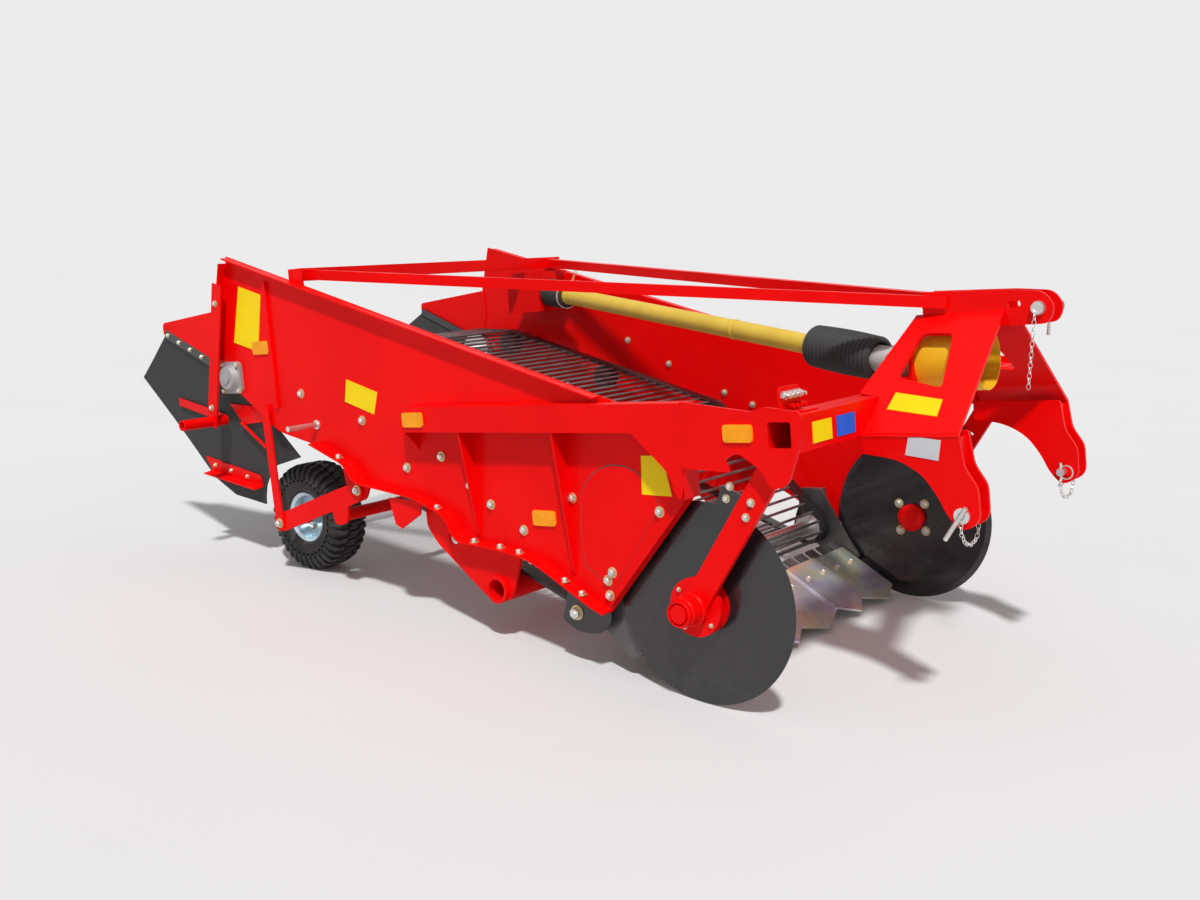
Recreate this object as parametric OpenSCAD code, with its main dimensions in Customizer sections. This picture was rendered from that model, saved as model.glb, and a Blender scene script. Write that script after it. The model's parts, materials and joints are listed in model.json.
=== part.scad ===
// Two-row potato harvester for a tractor's rear linkage, parked on its discs and wheels.
// Millimetres. +X forward to the hitch, +Y to the machine's left, +Z up, floor at Z = 0.
// The pieces are drawn with the frame level, then the whole machine is tilted as it parks.

/* [Stance] */
// diameter of the two side discs
disc_d = 676; // [600:1:740]
// distance from the disc axle back to the wheel axle
wheel_back = 2105; // [1900:5:2300]
// height of the wheel axle over the disc's lowest point, frame level
wheel_rise = 515; // [420:5:560]
// tyre diameter over the lugs
tyre_d = 457; // [400:1:520]

/* [Walls] */
// clear width between the side walls
wall_gap = 1600; // [1400:10:1800]
// side wall sheet
wall_t = 5; // [3:0.5:10]
// height of the wall's front top edge
wall_front_z = 997; // [960:1:1040]
// height of the wall's rear top corner
wall_rear_z = 1642; // [1560:1:1720]
// outward lip along the wall's top
lip_w = 40; // [25:1:45]
// outward lip along the wall's wavy bottom
hem_w = 55; // [30:1:65]
// sheet of the lips
lip_t = 6; // [4:0.5:10]

/* [Side beams] */
// reach of the side beam outside the wall
beam_reach = 75; // [60:1:110]
// height of the side beam's outer face
beam_h = 94; // [70:1:130]
// side beam sheet
beam_t = 6; // [4:0.5:10]
// rear end of the side beam behind the disc axle
beam_back = 1240; // [1000:5:1500]
// gusset ribs under the side beam
rib_t = 8; // [5:0.5:12]

/* [Cross beam] */
// square of the front cross beam
cross_s = 110; // [90:1:130]
// wall of the front cross beam
cross_t = 8; // [5:0.5:14]
// cross beam centre ahead of the disc axle
cross_x = 390; // [370:1:420]
// cross beam centre height
cross_z = 905; // [880:1:930]
// plate that ties a side beam to the cross beam
bracket_t = 12; // [8:0.5:20]

/* [Disc units] */
// blade of a disc
disc_t = 6; // [4:0.5:10]
// distance from the middle of the machine to a disc
disc_y = 772; // [740:1:776]
// hub that turns with the disc
hub_d = 110; // [90:1:140]
// fixed stub axle of a disc
axle_d = 40; // [30:1:50]
// running clearance on a stub axle, radial
run_gap = 0.05; // [0.02:0.01:0.1]
// gap between a turning hub and its arm
face_gap = 6; // [5:0.5:12]
// round flange at the foot of a disc arm
flange_d = 195; // [150:1:230]
// thickness of that flange
flange_t = 18; // [12:1:26]
// width of a disc arm
arm_w = 85; // [70:1:100]
// thickness of a disc arm
arm_t = 20; // [12:1:24]
// reach of the tapered boss outside the arm
boss_l = 80; // [50:1:110]

/* [Headstock] */
// lower hitch pin ahead of the disc axle
low_pin_x = 765; // [740:1:800]
// lower hitch pin height
low_pin_z = 605; // [580:1:640]
// lower hitch pin diameter
low_pin_d = 28.4; // [22:0.1:36]
// middle of a lower hitch clevis from the machine's middle
low_pin_y = 438; // [400:1:460]
// clear width of a lower hitch clevis
clevis_gap = 63; // [50:1:80]
// headstock plate
head_t = 12; // [8:0.5:16]
// top hitch pin ahead of the disc axle
top_pin_x = 865; // [830:1:900]
// top hitch pin height
top_pin_z = 1203; // [1180:1:1230]
// top hitch pin diameter
top_pin_d = 25.4; // [19:0.1:32]
// clear width of the top link clevis
top_gap = 72; // [52:1:84]
// radial clearance of a hitch pin in its holes
pin_gap = 0.2; // [0.1:0.05:0.5]
// square of the two long top struts
strut_s = 40; // [30:1:50]
// square of the rear cross bar
bar_s = 50; // [40:1:60]

/* [Sieve web] */
// clear space between the web and a side wall
web_clear = 65; // [58:1:90]
// width of a web belt
belt_w = 60; // [40:1:80]
// thickness of a web belt
belt_t = 12; // [8:0.5:16]
// web rod
rod_d = 12; // [9:0.5:16]
// spacing of the web rods along the belt
rod_pitch = 50; // [45:1:70]
// web drive shaft behind the disc axle
drive_back = 2332; // [2300:1:2350]
// web drive shaft height
drive_z = 1133; // [1120:1:1160]
// belt radius around the drive shaft
drive_r = 95; // [85:1:100]
// front roller behind the disc axle
nose_back = 450; // [440:1:470]
// front roller height
nose_z = 292; // [280:1:310]
// belt radius around the front roller
nose_r = 70; // [50:1:72]
// lower support rollers behind the disc axle
knee_back = 920; // [880:1:960]
// lower support rollers' height
knee_z = 780; // [765:1:800]
// upper support rollers behind the disc axle
crest_back = 2100; // [2060:1:2130]
// upper support rollers' height
crest_z = 1152; // [1140:1:1165]
// belt radius around the support rollers
bend_r = 60; // [50:1:64]

/* [Shares] */
// width of an upper share blade
share_w = 220; // [200:1:232]
// share blade thickness
share_t = 8; // [6:0.5:12]
// length of a share blade from its rear edge to its point
share_l = 310; // [280:1:330]
// share slope
share_slope = 33; // [25:1:36]

/* [Wheels] */
// middle of a tyre from the middle of the machine
wheel_y = 610; // [560:1:640]
// width of a tyre
tyre_w = 178; // [150:1:200]
// rim diameter
rim_d = 212; // [190:1:230]
// tyre lug height
lug_h = 14; // [8:1:20]
// lugs on one side of a tyre
lug_n = 16; // [12:1:20]
// wheel axle diameter
wheel_axle_d = 30; // [24:1:40]
// wheel arm bar
wheel_arm_t = 12; // [8:0.5:16]

/* [Drive line] */
// height of the input shaft
pto_z = 1045; // [1038:1:1052]
// splined input stub
stub_d = 34.9; // [28:0.1:45]
// length of the input stub
stub_l = 150; // [90:1:160]
// outer diameter of the input guard
guard_d = 212; // [190:1:218]
// length of the input guard
guard_l = 215; // [180:1:240]
// guard sheet
guard_t = 4; // [3:0.5:6]
// tube of the long shaft guard
shaft_d = 76; // [60:1:90]

/* [Rear] */
// rubber swath flap
flap_t = 6; // [5:0.5:10]
// inward tilt of the flaps
flap_tilt = 10; // [5:1:14]
// post at the wall's rear edge
post_w = 60; // [40:1:70]
// post thickness
post_t = 8; // [6:0.5:12]
// cross tube of a post
cross_tube_d = 45; // [35:1:55]

/* [Hidden] */
$fn = 64;
disc_r = disc_d / 2;
tyre_r = tyre_d / 2;
wheel_x = -wheel_back;
pitch = atan2(wheel_rise - disc_r, wheel_back)
  + asin((disc_r - tyre_r) / norm([wheel_back, wheel_rise - disc_r]));
function stand_x(x, z) = x * cos(pitch) - (z - disc_r) * sin(pitch);
nose_tip = stand_x(top_pin_x, top_pin_z) + 52;
flap_point = [-3113, 1146];
flap_tip = stand_x(flap_point[0], flap_point[1]);
origin_dx = -(nose_tip + flap_tip) / 2;

wall_in = wall_gap / 2;
wall_out = wall_in + wall_t;
beam_out = wall_out + beam_reach;
beam_top = wall_front_z + lip_t;
top_slope = atan2(wall_rear_z - wall_front_z, 2292 - 258);
function wall_top(x) = wall_front_z + (-258 - x) * tan(top_slope);

cross_front = cross_x + cross_s / 2;
cross_rear = cross_x - cross_s / 2;
cross_low = cross_z - cross_s / 2;
cross_high = cross_z + cross_s / 2;

hub_face = disc_y + 34;
flange_in = hub_face + face_gap;
arm_in = flange_in + flange_t;
arm_out = arm_in + arm_t;
arm_top = [cross_x - 25, cross_low];
arm_angle = atan2(arm_top[1] - disc_r, arm_top[0]);

drive_c = [-drive_back, drive_z];
nose_c = [-nose_back, nose_z];
knee_c = [-knee_back, knee_z];
crest_c = [-crest_back, crest_z];
web_half = wall_in - web_clear;
idler_d = 2 * bend_r - belt_t - 0.6;
function ring(c, r, a) = [c[0] + r * cos(a), c[1] + r * sin(a)];
web_rolls = [[nose_c, nose_r, 12], [knee_c, bend_r, 4], [crest_c, bend_r, 4], [drive_c, drive_r, 12]];
function leave(i) = let (
  a = web_rolls[i % 4],
  b = web_rolls[(i + 1) % 4],
  d = b[0] - a[0]) atan2(d[1], d[0]) - 90 + asin((a[1] - b[1]) / norm(d));
function wrap(i) = (leave(i) - leave(i + 3) + 720) % 360;
function web_loop(d) = [for (i = [0:3]) let (r = web_rolls[i])
  each [for (k = [0:r[2]]) ring(r[0], r[1] + d, leave(i + 3) + wrap(i) * k / r[2])]];
web_path = web_loop(0);
web_n = len(web_path);
function web_reach(a, b) = b <= a ? 0
  : web_reach(a, b - 1) + norm(web_path[b % web_n] - web_path[(b - 1) % web_n]);
function web_at(i, t) = let (
  a = web_path[i % web_n],
  b = web_path[(i + 1) % web_n],
  l = norm(b - a)) t <= l ? a + (b - a) * t / l : web_at(i + 1, t - l);

share_rear = [-305, 204];
tongue_l = 60;
share_arm_in = web_half + 7;
share_step = web_half / 3;
share_under = 2 * share_step - share_w + 40;
tongue_step = (share_arm_in - 31) / 8;
share_arm_out = min(share_arm_in + 14, disc_y - disc_t / 2 - 5);

cheek_out = low_pin_y + clevis_gap / 2;
cheek_in = low_pin_y - clevis_gap / 2;
slope_a = atan2(1190 - cross_low, cheek_out + head_t / 2 - 54);
slope_l = norm([1190 - cross_low, cheek_out + head_t / 2 - 54]);
top_in = top_gap / 2;
top_out = top_in + head_t;

carrier_front = cross_front + 12;
pto_rear = [-1770, 640, 1390];
pto_front = [cross_rear - 5, 0, pto_z];
pto_run = pto_rear - pto_front;
pto_len = norm(pto_run);
pto_turn = atan2(pto_run[1], pto_run[0]);
pto_tip = acos(pto_run[2] / pto_len);

wheel_arm_in = wall_in;
wheel_arm_out = wall_in + wheel_arm_t;
arm_pivot = [-1609, 666];
arm_tube_c = [-1720, 560];
under_c = [-890, 322];
under_d = 102;

strip_a = [-2815, 1330];
strip_b = [-2450, 1168];
strip_turn = atan2(strip_b[1] - strip_a[1], strip_b[0] - strip_a[0]);
strip_l = norm(strip_b - strip_a);
hood_in = wall_in - 5;
post_in = wall_out + lip_w;
post_out = post_in + post_t;

// corner rounding: each point is [x, z] or [x, z, r]
function unit(v) = v / norm(v);
function bend(a, v, b, r, i) = let (
  p = [v[0], v[1]],
  da = [a[0], a[1]] - p,
  db = [b[0], b[1]] - p,
  q = min(r, 0.45 * norm(da), 0.45 * norm(db)),
  t = i / 4) (p + unit(da) * q) * pow(1 - t, 2) + p * 2 * t * (1 - t) + (p + unit(db) * q) * pow(t, 2);
function soft(pts) = [for (k = [0:len(pts) - 1]) let (
  n = len(pts), v = pts[k], a = pts[(k + n - 1) % n], b = pts[(k + 1) % n])
  each v[2] == undef ? [[v[0], v[1]]] : [for (i = [0:4]) bend(a, v, b, v[2], i)]];
function soft_line(pts) = [for (k = [0:len(pts) - 1]) let (v = pts[k])
  each v[2] == undef ? [[v[0], v[1]]]
    : [for (i = [0:4]) bend(pts[k - 1], v, pts[k + 1], v[2], i)]];

// a plate in the side view from y0 outward
module plate(y0, t) {
  translate([0, y0 + t, 0])
    rotate([90, 0, 0])
      linear_extrude(t) children();
}

// a round bar along Y from y0 to y1
module bar_y(c, d, y0, y1) {
  translate([c[0], y0, c[1]])
    rotate([-90, 0, 0])
      cylinder(d = d, h = y1 - y0);
}

// a square bar between two points, run on by e at both ends
module beam_between(a, b, s, e) {
  v = b - a;
  translate(a)
    rotate([0, acos(v[2] / norm(v)), atan2(v[1], v[0])])
      translate([-s / 2, -s / 2, -e])
        cube([s, s, norm(v) + 2 * e]);
}

// a flat strip along a side-view line
module strip(a, b, y0, w, t) {
  d = b - a;
  translate([a[0], y0, a[1]])
    rotate([0, -atan2(d[1], d[0]), 0])
      cube([norm(d), w, t]);
}

module both() {
  children();
  mirror([0, 1, 0]) children();
}

module right() {
  mirror([0, 1, 0]) children();
}

// the machine tilted as it parks
module stand() {
  translate([origin_dx, 0, disc_r])
    rotate([0, -pitch, 0])
      translate([0, 0, -disc_r])
        children();
}

hem = soft_line([[-366, 283], [-420, 305, 30], [-690, 460, 90], [-910, 488, 40], [-1040, 497, 40],
  [-1085, 592, 40], [-1252, 655, 50], [-1574, 703, 40], [-1622, 775, 30], [-1817, 853]]);
wall_tail = [[-1830, 845, 15], [-2060, 900, 40], [-2150, 960, 30], [-2290, 1060, 30],
  [-2455, 1105, 20], [-2425, 1200, 20]];
wall_shape = soft(concat([[-2292, wall_rear_z], [-258, wall_front_z], [30, wall_front_z], [5, 690]],
  hem, wall_tail));

module wall_side(seam) {
  difference() {
    plate(wall_in, wall_t) polygon(wall_shape);
    bar_y(drive_c, 90, wall_in - 1, wall_out + 1);
    bar_y([-1811, 930], 24, wall_in - 1, wall_out + 1);
  }
  strip([-2275, wall_top(-2275) - lip_t - 2], [-345, wall_top(-345) - lip_t - 2], wall_out - 1, lip_w + 1, lip_t);
  strip([-2422 + lip_t + 2, 1210], [-2300 + lip_t + 2, wall_rear_z - 30], wall_out - 1, lip_w + 1, lip_t);
  plate(wall_out - 1, hem_w + 1) polygon(concat([for (p = hem) p + [1, 1.5]],
    [for (i = [len(hem) - 1:-1:0]) hem[i] + [5, 6.5]]));
  strip([-350, 304], [-8, 679], wall_out - 1, lip_w - 4, lip_t);
  if (seam) {
    plate(wall_out - 1, 13) polygon([[-2060, 1000], [-2040, 1000], [-2040, 1520], [-2060, 1520]]);
  }
}

module side_walls() {
  color("firebrick") {
    wall_side(false);
    right() wall_side(true);
  }
}

module beam_side() {
  translate([-beam_back, wall_out, beam_top - beam_t]) cube([beam_back + 45, beam_reach, beam_t]);
  translate([-beam_back, beam_out - beam_t, beam_top - beam_h]) cube([beam_back + 45, beam_t, beam_h]);
  for (r = [[-beam_back, 830], [-958, 510], [-517, 400]]) {
    translate([r[0] + rib_t, 0, 0])
      rotate([90, 0, -90])
        linear_extrude(rib_t)
          polygon([[-wall_out, beam_top - beam_t], [-beam_out + beam_t, beam_top - beam_t],
            [-beam_out + beam_t, beam_top - beam_h], [-wall_out - 12, r[1] + 20], [-wall_out, r[1]]]);
  }
  plate(beam_out - beam_t, beam_t) polygon(soft([[-190, beam_top - beam_h + 20], [45, beam_top - 20],
    [45, 800], [12, 700, 12], [-4, 700, 12], [-30, 780, 30]]));
  translate([25, wall_out, 700]) cube([8, beam_reach, beam_top - beam_t - 700]);
  translate([3, wall_in + 1, 700]) cube([25, wall_t - 1 + 10, 30]);
}

module outer_beams() {
  color("firebrick") both() difference() {
    beam_side();
    plate(wall_in - 1, wall_t + 1) polygon([[-3000, 0], [100, 0], [100, 2000], [-3000, 2000]]);
  }
}

module front_cross_beam() {
  color("firebrick") translate([cross_x, 0, cross_z]) difference() {
    cube([cross_s, 2 * beam_out, cross_s], center = true);
    cube([cross_s - 2 * cross_t, 2 * beam_out + 2, cross_s - 2 * cross_t], center = true);
  }
}

module disc_brackets() {
  color("firebrick") both() difference() {
    plate(beam_out, bracket_t) polygon(soft([[40, beam_top + 6], [300, 975, 30], [336, 990, 20],
      [458, 975, 15], [470, 955, 12], [456, 870, 30], [406, 752, 30], [350, 740, 30], [318, 800, 20],
      [240, 852, 24], [190, 830, 12], [206, 790, 12], [30, 800, 12]]));
    plate(beam_out - 1, bracket_t + 2) polygon(soft([
      [cross_rear + 2 * cross_t, cross_low + 2 * cross_t, 8],
      [cross_front - 2 * cross_t, cross_low + 2 * cross_t, 8],
      [cross_front - 2 * cross_t, cross_high - 2 * cross_t, 8],
      [cross_rear + 2 * cross_t, cross_high - 2 * cross_t, 8]]));
  }
}

module arm_side() {
  n = [-sin(arm_angle), cos(arm_angle)] * arm_w / 2;
  hub = [0, disc_r];
  difference() {
    plate(arm_in, arm_t) polygon([hub + n, hub - n,
      [arm_top[0] + arm_w / 2 / sin(arm_angle), cross_low],
      [arm_top[0] - arm_w / 2 / sin(arm_angle), cross_low]]);
    bar_y([246, 680], 18, arm_in - 1, arm_out + 1);
    bar_y([226, 648], 18, arm_in - 1, arm_out + 1);
  }
  bar_y(hub, flange_d, flange_in, arm_in + 2);
  translate([0, arm_in, disc_r])
    rotate([-90, 0, 0])
      cylinder(d1 = 98, d2 = 60, h = arm_t + boss_l);
  bar_y(hub, axle_d, disc_y - 22, flange_in + 2);
  bar_y([372, 780], 56, arm_out - 2, beam_out);
}

module disc_arms() {
  color("firebrick") both() arm_side();
}

module disc_scrapers() {
  color("dimgray") both() translate([0, 0, disc_r]) rotate([0, -67, 0]) {
    translate([disc_r + 14, arm_in - 8, -75]) cube([70, 8, 109]);
    translate([disc_r + 14, disc_y - 27, -34]) cube([8, arm_in - disc_y + 27, 68]);
  }
}

module leg_side() {
  hub = [low_pin_x, low_pin_z];
  for (y = [cheek_out, cheek_in - head_t]) {
    difference() {
      plate(y, head_t) polygon(soft([[cross_front, cross_low + 8], [763, cross_low + 8, 10], [778, 752, 20],
        [818, 690, 20], [820, low_pin_z - 20, 45], [760, low_pin_z - 52, 40], [715, low_pin_z, 30],
        [690, 660, 30], [640, 730, 50], [560, 775, 50], [cross_front, 792]]));
      bar_y(hub, low_pin_d + 2 * pin_gap, y - 1, y + head_t + 1);
    }
  }
  translate([0, cheek_out + head_t / 2, cross_low])
    rotate([-slope_a, 0, 0])
      mirror([0, 1, 0])
        translate([0, 0, -head_t / 2])
          linear_extrude(head_t) difference() {
            polygon([[cross_front + 2, -10], [763, -10], [752, slope_l + 20], [449, slope_l + 20],
              [368, .34 * slope_l], [cross_front + 2, .3 * slope_l]]);
            polygon(soft([[478, .47 * slope_l, 25], [648, .37 * slope_l, 25], [608, .84 * slope_l, 20],
              [500, .85 * slope_l, 20]]));
          }
  translate([745, cheek_in - 1, 752]) cube([12, clevis_gap + 2, 90]);
}

module headstock_legs() {
  color("firebrick") both() difference() {
    leg_side();
    translate([0, -top_out, 0]) cube([1200, 2 * top_out, 2000]);
    translate([cross_x, 0, cross_z]) cube([cross_s, 2 * beam_out, cross_s], center = true);
  }
}

module top_link_bracket() {
  color("firebrick") {
    both() difference() {
      plate(top_in, head_t) polygon(soft([[470, 1185, 10], [768, 1150, 30], [840, 1152, 40],
        [top_pin_x + 30, top_pin_z - 52, 30], [top_pin_x + 52, top_pin_z, 40],
        [top_pin_x + 20, top_pin_z + 52, 40], [760, 1268, 20], [470, 1278, 10]]));
      bar_y([top_pin_x, top_pin_z], top_pin_d + 2 * pin_gap, top_in - 1, top_out + 1);
      plate(top_in - 1, head_t + 2) polygon(soft([[762, 1208, 10], [806, 1208, 10], [806, 1230, 10],
        [762, 1230, 10]]));
    }
    translate([470, -top_in - 1, 1262]) cube([140, 2 * top_in + 2, 10]);
    translate([480, -top_in - 1, 1192]) cube([10, 2 * top_in + 2, 75]);
  }
}

module hitch_pins() {
  color("silver") {
    both() {
      bar_y([low_pin_x, low_pin_z], low_pin_d, cheek_in - head_t - 30, cheek_out + head_t + 1);
      bar_y([low_pin_x, low_pin_z], low_pin_d + 22, cheek_out + head_t, cheek_out + head_t + 9);
    }
    bar_y([top_pin_x, top_pin_z], top_pin_d, -top_out - 1, top_out + 34);
    bar_y([top_pin_x, top_pin_z], top_pin_d + 20, -top_out - 9, -top_out);
  }
}

module top_struts() {
  color("firebrick") both() intersection() {
    beam_between([-1859, 740, 1533], [500, 62, 1245], strut_s, 60);
    translate([-1859 + bar_s / 2, top_out, 1000]) cube([2600, 900, 800]);
  }
}

module rear_cross_bar() {
  color("firebrick") {
    translate([-1859, 0, 1533]) cube([bar_s, 2 * wall_in, bar_s], center = true);
    both() translate([-1900, wall_in - 8, 1440]) cube([82, 8, 118]);
  }
}

// share plane: local +x runs down to the point, local z is the blade's top
module share_plane() {
  translate([share_rear[0], 0, share_rear[1]])
    rotate([0, share_slope, 0])
      children();
}

module blade(y, drop, w) {
  translate([0, y, -drop - share_t])
    linear_extrude(share_t)
      polygon([[-6, -w / 2], [share_l - 62, -w / 2], [share_l, 0], [share_l - 62, w / 2], [-6, w / 2]]);
}

module share_blades() {
  color("silver") share_plane() {
    for (i = [-2.5, -0.5, 1.5]) blade(i * share_step, 0, share_w);
    intersection() {
      for (i = [-1.5, 0.5, 2.5]) blade(i * share_step, share_t, share_under);
      translate([-50, -web_half, -100]) cube([500, 2 * web_half, 200]);
    }
  }
}

module share_beam() {
  color("firebrick") {
    share_plane() {
      translate([-14, -share_arm_in - 2, -2 * share_t - 60]) cube([60, 2 * share_arm_in + 4, 60]);
      for (i = [-8:8]) {
        translate([-tongue_l, i * tongue_step - 29, -2 * share_t - 8]) cube([tongue_l + 30, 58, 8]);
      }
      for (i = [-2.5, -0.5, 1.5]) {
        translate([-14, i * share_step - share_w / 2 + 25, -2 * share_t - 1])
          cube([58, share_w - 50, share_t + 1]);
      }
    }
    both() {
      plate(share_arm_in, share_arm_out - share_arm_in) polygon(soft([[-240, 161, 15], [-330, 101, 25],
        [-420, 190, 20], [-490, 250, 25], [-520, 380, 15], [-520, 450, 15], [-410, 450, 15], [-290, 233, 15]]));
      translate([-515, share_arm_out - 2, 375]) cube([100, wall_in - share_arm_out + 2, 70]);
    }
  }
}

// one length of the web from path point a to path point b
module web_part(a, b) {
  outer = web_loop(belt_t / 2);
  inner = web_loop(-belt_t / 2);
  reach = web_reach(a, b);
  n = max(1, round(reach / rod_pitch));
  color("dimgray") {
    both() plate(web_half - belt_w, belt_w) polygon(concat([for (i = [a:b]) outer[i % web_n]],
      [for (i = [b:-1:a]) inner[i % web_n]]));
    for (k = [0:n - 1]) let (p = web_at(a, (k + 0.5) * reach / n))
      translate([p[0], -web_half + 6, p[1]])
        rotate([-90, 0, 0])
          cylinder(d = rod_d, h = 2 * web_half - 12, $fn = 6);
  }
}

module web_nose_bend() {
  web_part(0, 12);
}

module web_front_run() {
  web_part(12, 15);
}

module web_top_run() {
  web_part(15, 23);
}

module web_rear_bend() {
  web_part(23, 35);
}

module web_return_run() {
  web_part(35, 36);
}

module web_front_roller() {
  color("dimgray") {
    bar_y(nose_c, 60, -web_half, web_half);
    for (y = [-web_half + 6, web_half - belt_w + 6]) bar_y(nose_c, 2 * nose_r - 22, y, y + belt_w - 12);
    bar_y(nose_c, 30, -share_arm_in, share_arm_in);
  }
}

module web_drive_shaft() {
  color("dimgray") {
    bar_y(drive_c, 50, -wall_out, wall_out);
    for (y = [-web_half + 10, web_half - belt_w + 10]) bar_y(drive_c, 2 * drive_r - 24, y, y + belt_w - 20);
  }
}

module web_support_rollers() {
  color("dimgray") both() for (c = [knee_c, (knee_c + crest_c) / 2, crest_c]) {
    bar_y(c, idler_d, web_half - belt_w, web_half);
    bar_y(c, 24, web_half - 2, wall_in);
  }
}

module drive_bearing() {
  color("gray") right() {
    plate(wall_out, 14) polygon(soft([for (a = [45:90:315]) [drive_c[0] + 95 * cos(a), drive_c[1] + 95 * sin(a), 26]]));
    translate([drive_c[0], wall_out + 13, drive_c[1]])
      rotate([-90, 0, 0])
        cylinder(d1 = 116, d2 = 92, h = 26);
    bar_y(drive_c, 46, wall_out + 38, wall_out + 46);
  }
}

module under_tube() {
  color("firebrick") difference() {
    bar_y(under_c, under_d, -wall_in - 16, wall_in + 16);
    bar_y(under_c, under_d - 26, -wall_in - 17, wall_in + 17);
  }
}

module under_plates() {
  color("firebrick") both() {
    difference() {
      plate(wall_in - 12, 12) polygon(soft([[-1235, 660], [-1235, 540, 20], [-1185, 475, 20], [-930, 272, 45],
        [-830, 282, 45], [-770, 440, 25], [-760, 560]]));
      bar_y([-1100, 500], 50, wall_in - 13, wall_in + 1);
      bar_y(under_c, under_d + 0.4, wall_in - 13, wall_in + 1);
    }
    plate(wall_in - 12, 12) polygon(soft([[-1700, 840], [-1680, 690, 20], [-1640, 625, 24], [-1575, 625, 24],
      [-1540, 690, 20], [-1530, 790]]));
  }
}

module front_skids() {
  color("dimgray") both() plate(wall_in - 12, 12) polygon(soft([[-380, 330, 12], [-370, 250, 30], [-420, 200, 30],
    [-520, 196, 30], [-592, 236, 16], [-560, 340, 12], [-540, 372, 12]]));
}

module wheel_arms() {
  color("firebrick") both() {
    plate(wheel_arm_in, wheel_arm_t) polygon(soft([[-1600, 706, 25], [-1570, 660, 25], [-1600, 622, 20],
      [-1672, 600, 12], [-1682, 530, 25], [-1755, 520, 25], [-1768, 578, 12], [wheel_x, wheel_rise - 40, 20],
      [wheel_x - 42, wheel_rise - 25, 20], [wheel_x - 42, wheel_rise + 25, 20], [wheel_x, wheel_rise + 40, 20]]));
    bar_y([wheel_x, wheel_rise], wheel_axle_d, wheel_y - tyre_w / 2 + 26, wheel_arm_in + 2);
    bar_y([wheel_x, wheel_rise], 56, wheel_y + 62, wheel_arm_in + 2);
  }
}

module depth_struts() {
  color("firebrick") both() {
    plate(wheel_arm_out, 8) polygon(soft([[wheel_x - 24, wheel_rise - 26, 14], [wheel_x + 24, wheel_rise - 26, 14],
      [-2104, 1015, 14], [-2146, 1015, 14]]));
    bar_y([-2125, 990], 40, wall_out, wheel_arm_out + 2);
  }
}

module wheel_arm_tube() {
  color("firebrick") bar_y(arm_tube_c, 50, -wheel_arm_in, wheel_arm_in);
}

module rear_posts() {
  top = [-2313, 1529];
  foot = [-2457, 968];
  n = unit([top[1] - foot[1], foot[0] - top[0]]) * post_w / 2;
  color("firebrick") both() {
    plate(post_in, post_t) polygon([top + n, top - n, foot - n - [0, 40], foot + n - [0, 40]]);
    difference() {
      bar_y([foot[0], foot[1] - 18], cross_tube_d, wall_in - 20, wall_in + 200);
      bar_y([foot[0], foot[1] - 18], cross_tube_d - 12, wall_in - 21, wall_in + 201);
    }
  }
}

module rear_hoods() {
  color("firebrick") both() plate(hood_in, wall_in - hood_in) polygon(soft([[-2814, 1387, 15], [-2817, 1338, 15],
    strip_b + [-36, 16], strip_b + [60, -20], [-2340, 1300], [-2345, 1425, 12]]));
}

// flap plane: local x along the fixing strip, local y down, local z outward
module flap_frame(tilt) {
  translate([strip_a[0], hood_in, strip_a[1]])
    rotate([0, -strip_turn, 0])
      rotate([-90 - tilt, 0, 0])
        children();
}

module flap_side() {
  ca = cos(strip_turn);
  sa = sin(strip_turn);
  pts = [for (p = [strip_a, flap_point, [-2691, 676], [-2559, 601], [-2355, 566], [-2345, 765],
    [-2000, 785], [-2104, 898], [-2175, 1010], [-2320, 1070], strip_b])
    let (d = p - strip_a) [d[0] * ca + d[1] * sa, (d[0] * sa - d[1] * ca) / cos(flap_tilt)]];
  intersection() {
    flap_frame(flap_tilt) translate([0, 0, -flap_t]) linear_extrude(flap_t) polygon(pts);
    flap_frame(0) translate([-900, 0, -900]) cube([2400, 2000, 900]);
  }
}

module swath_flaps() {
  color("dimgray") both() flap_side();
}

module flap_strips() {
  color("silver") both() flap_frame(0) translate([8, -34, -14]) cube([strip_l - 16, 34, 14]);
}

module rear_gearbox() {
  color("firebrick") {
    translate([-1970, 570, 1300]) cube([200, wall_in - 10 - 570, 190]);
    translate([-1870, 680, 1380]) rotate([0, -90, 0]) cylinder(d = 150, h = 115);
  }
}

module gearbox_bracket() {
  color("firebrick") translate([-2000, wall_in - 10, 1270]) cube([290, 10, 165]);
}

module chain_guard() {
  color("firebrick") plate(wall_out, lip_w - 1) polygon(concat(
    [for (i = [0:12]) ring([-1900, 1360], 88, -58 + 180 * i / 12)],
    [for (i = [0:12]) ring(drive_c, 75, 122 + 180 * i / 12)]));
}

module pto_carrier() {
  color("firebrick") difference() {
    union() {
      translate([cross_front, 0, 0])
        rotate([90, 0, 90])
          linear_extrude(12) polygon([[-126, cross_low + 20], [126, cross_low + 20], [126, pto_z + 40],
            [70, pto_z + 95], [-70, pto_z + 95], [-126, pto_z + 40]]);
      translate([cross_front + 6, 0, pto_z]) rotate([0, 90, 0]) cylinder(d = 120, h = 34);
    }
    translate([cross_front - 1, 0, pto_z]) rotate([0, 90, 0]) cylinder(r = 25 + run_gap, h = 80);
  }
}

module pto_sleeve() {
  color("gray") translate([pto_front[0], 0, pto_z]) rotate([0, 90, 0]) cylinder(d = 110, h = cross_front - pto_front[0]);
}

module pto_line(d, s0, s1) {
  translate(pto_front)
    rotate([0, pto_tip, pto_turn])
      translate([0, 0, s0])
        cylinder(d = d, h = s1 - s0);
}

module pto_guard_tube() {
  color("gold") pto_line(shaft_d, 290, pto_len - 170);
}

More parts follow.
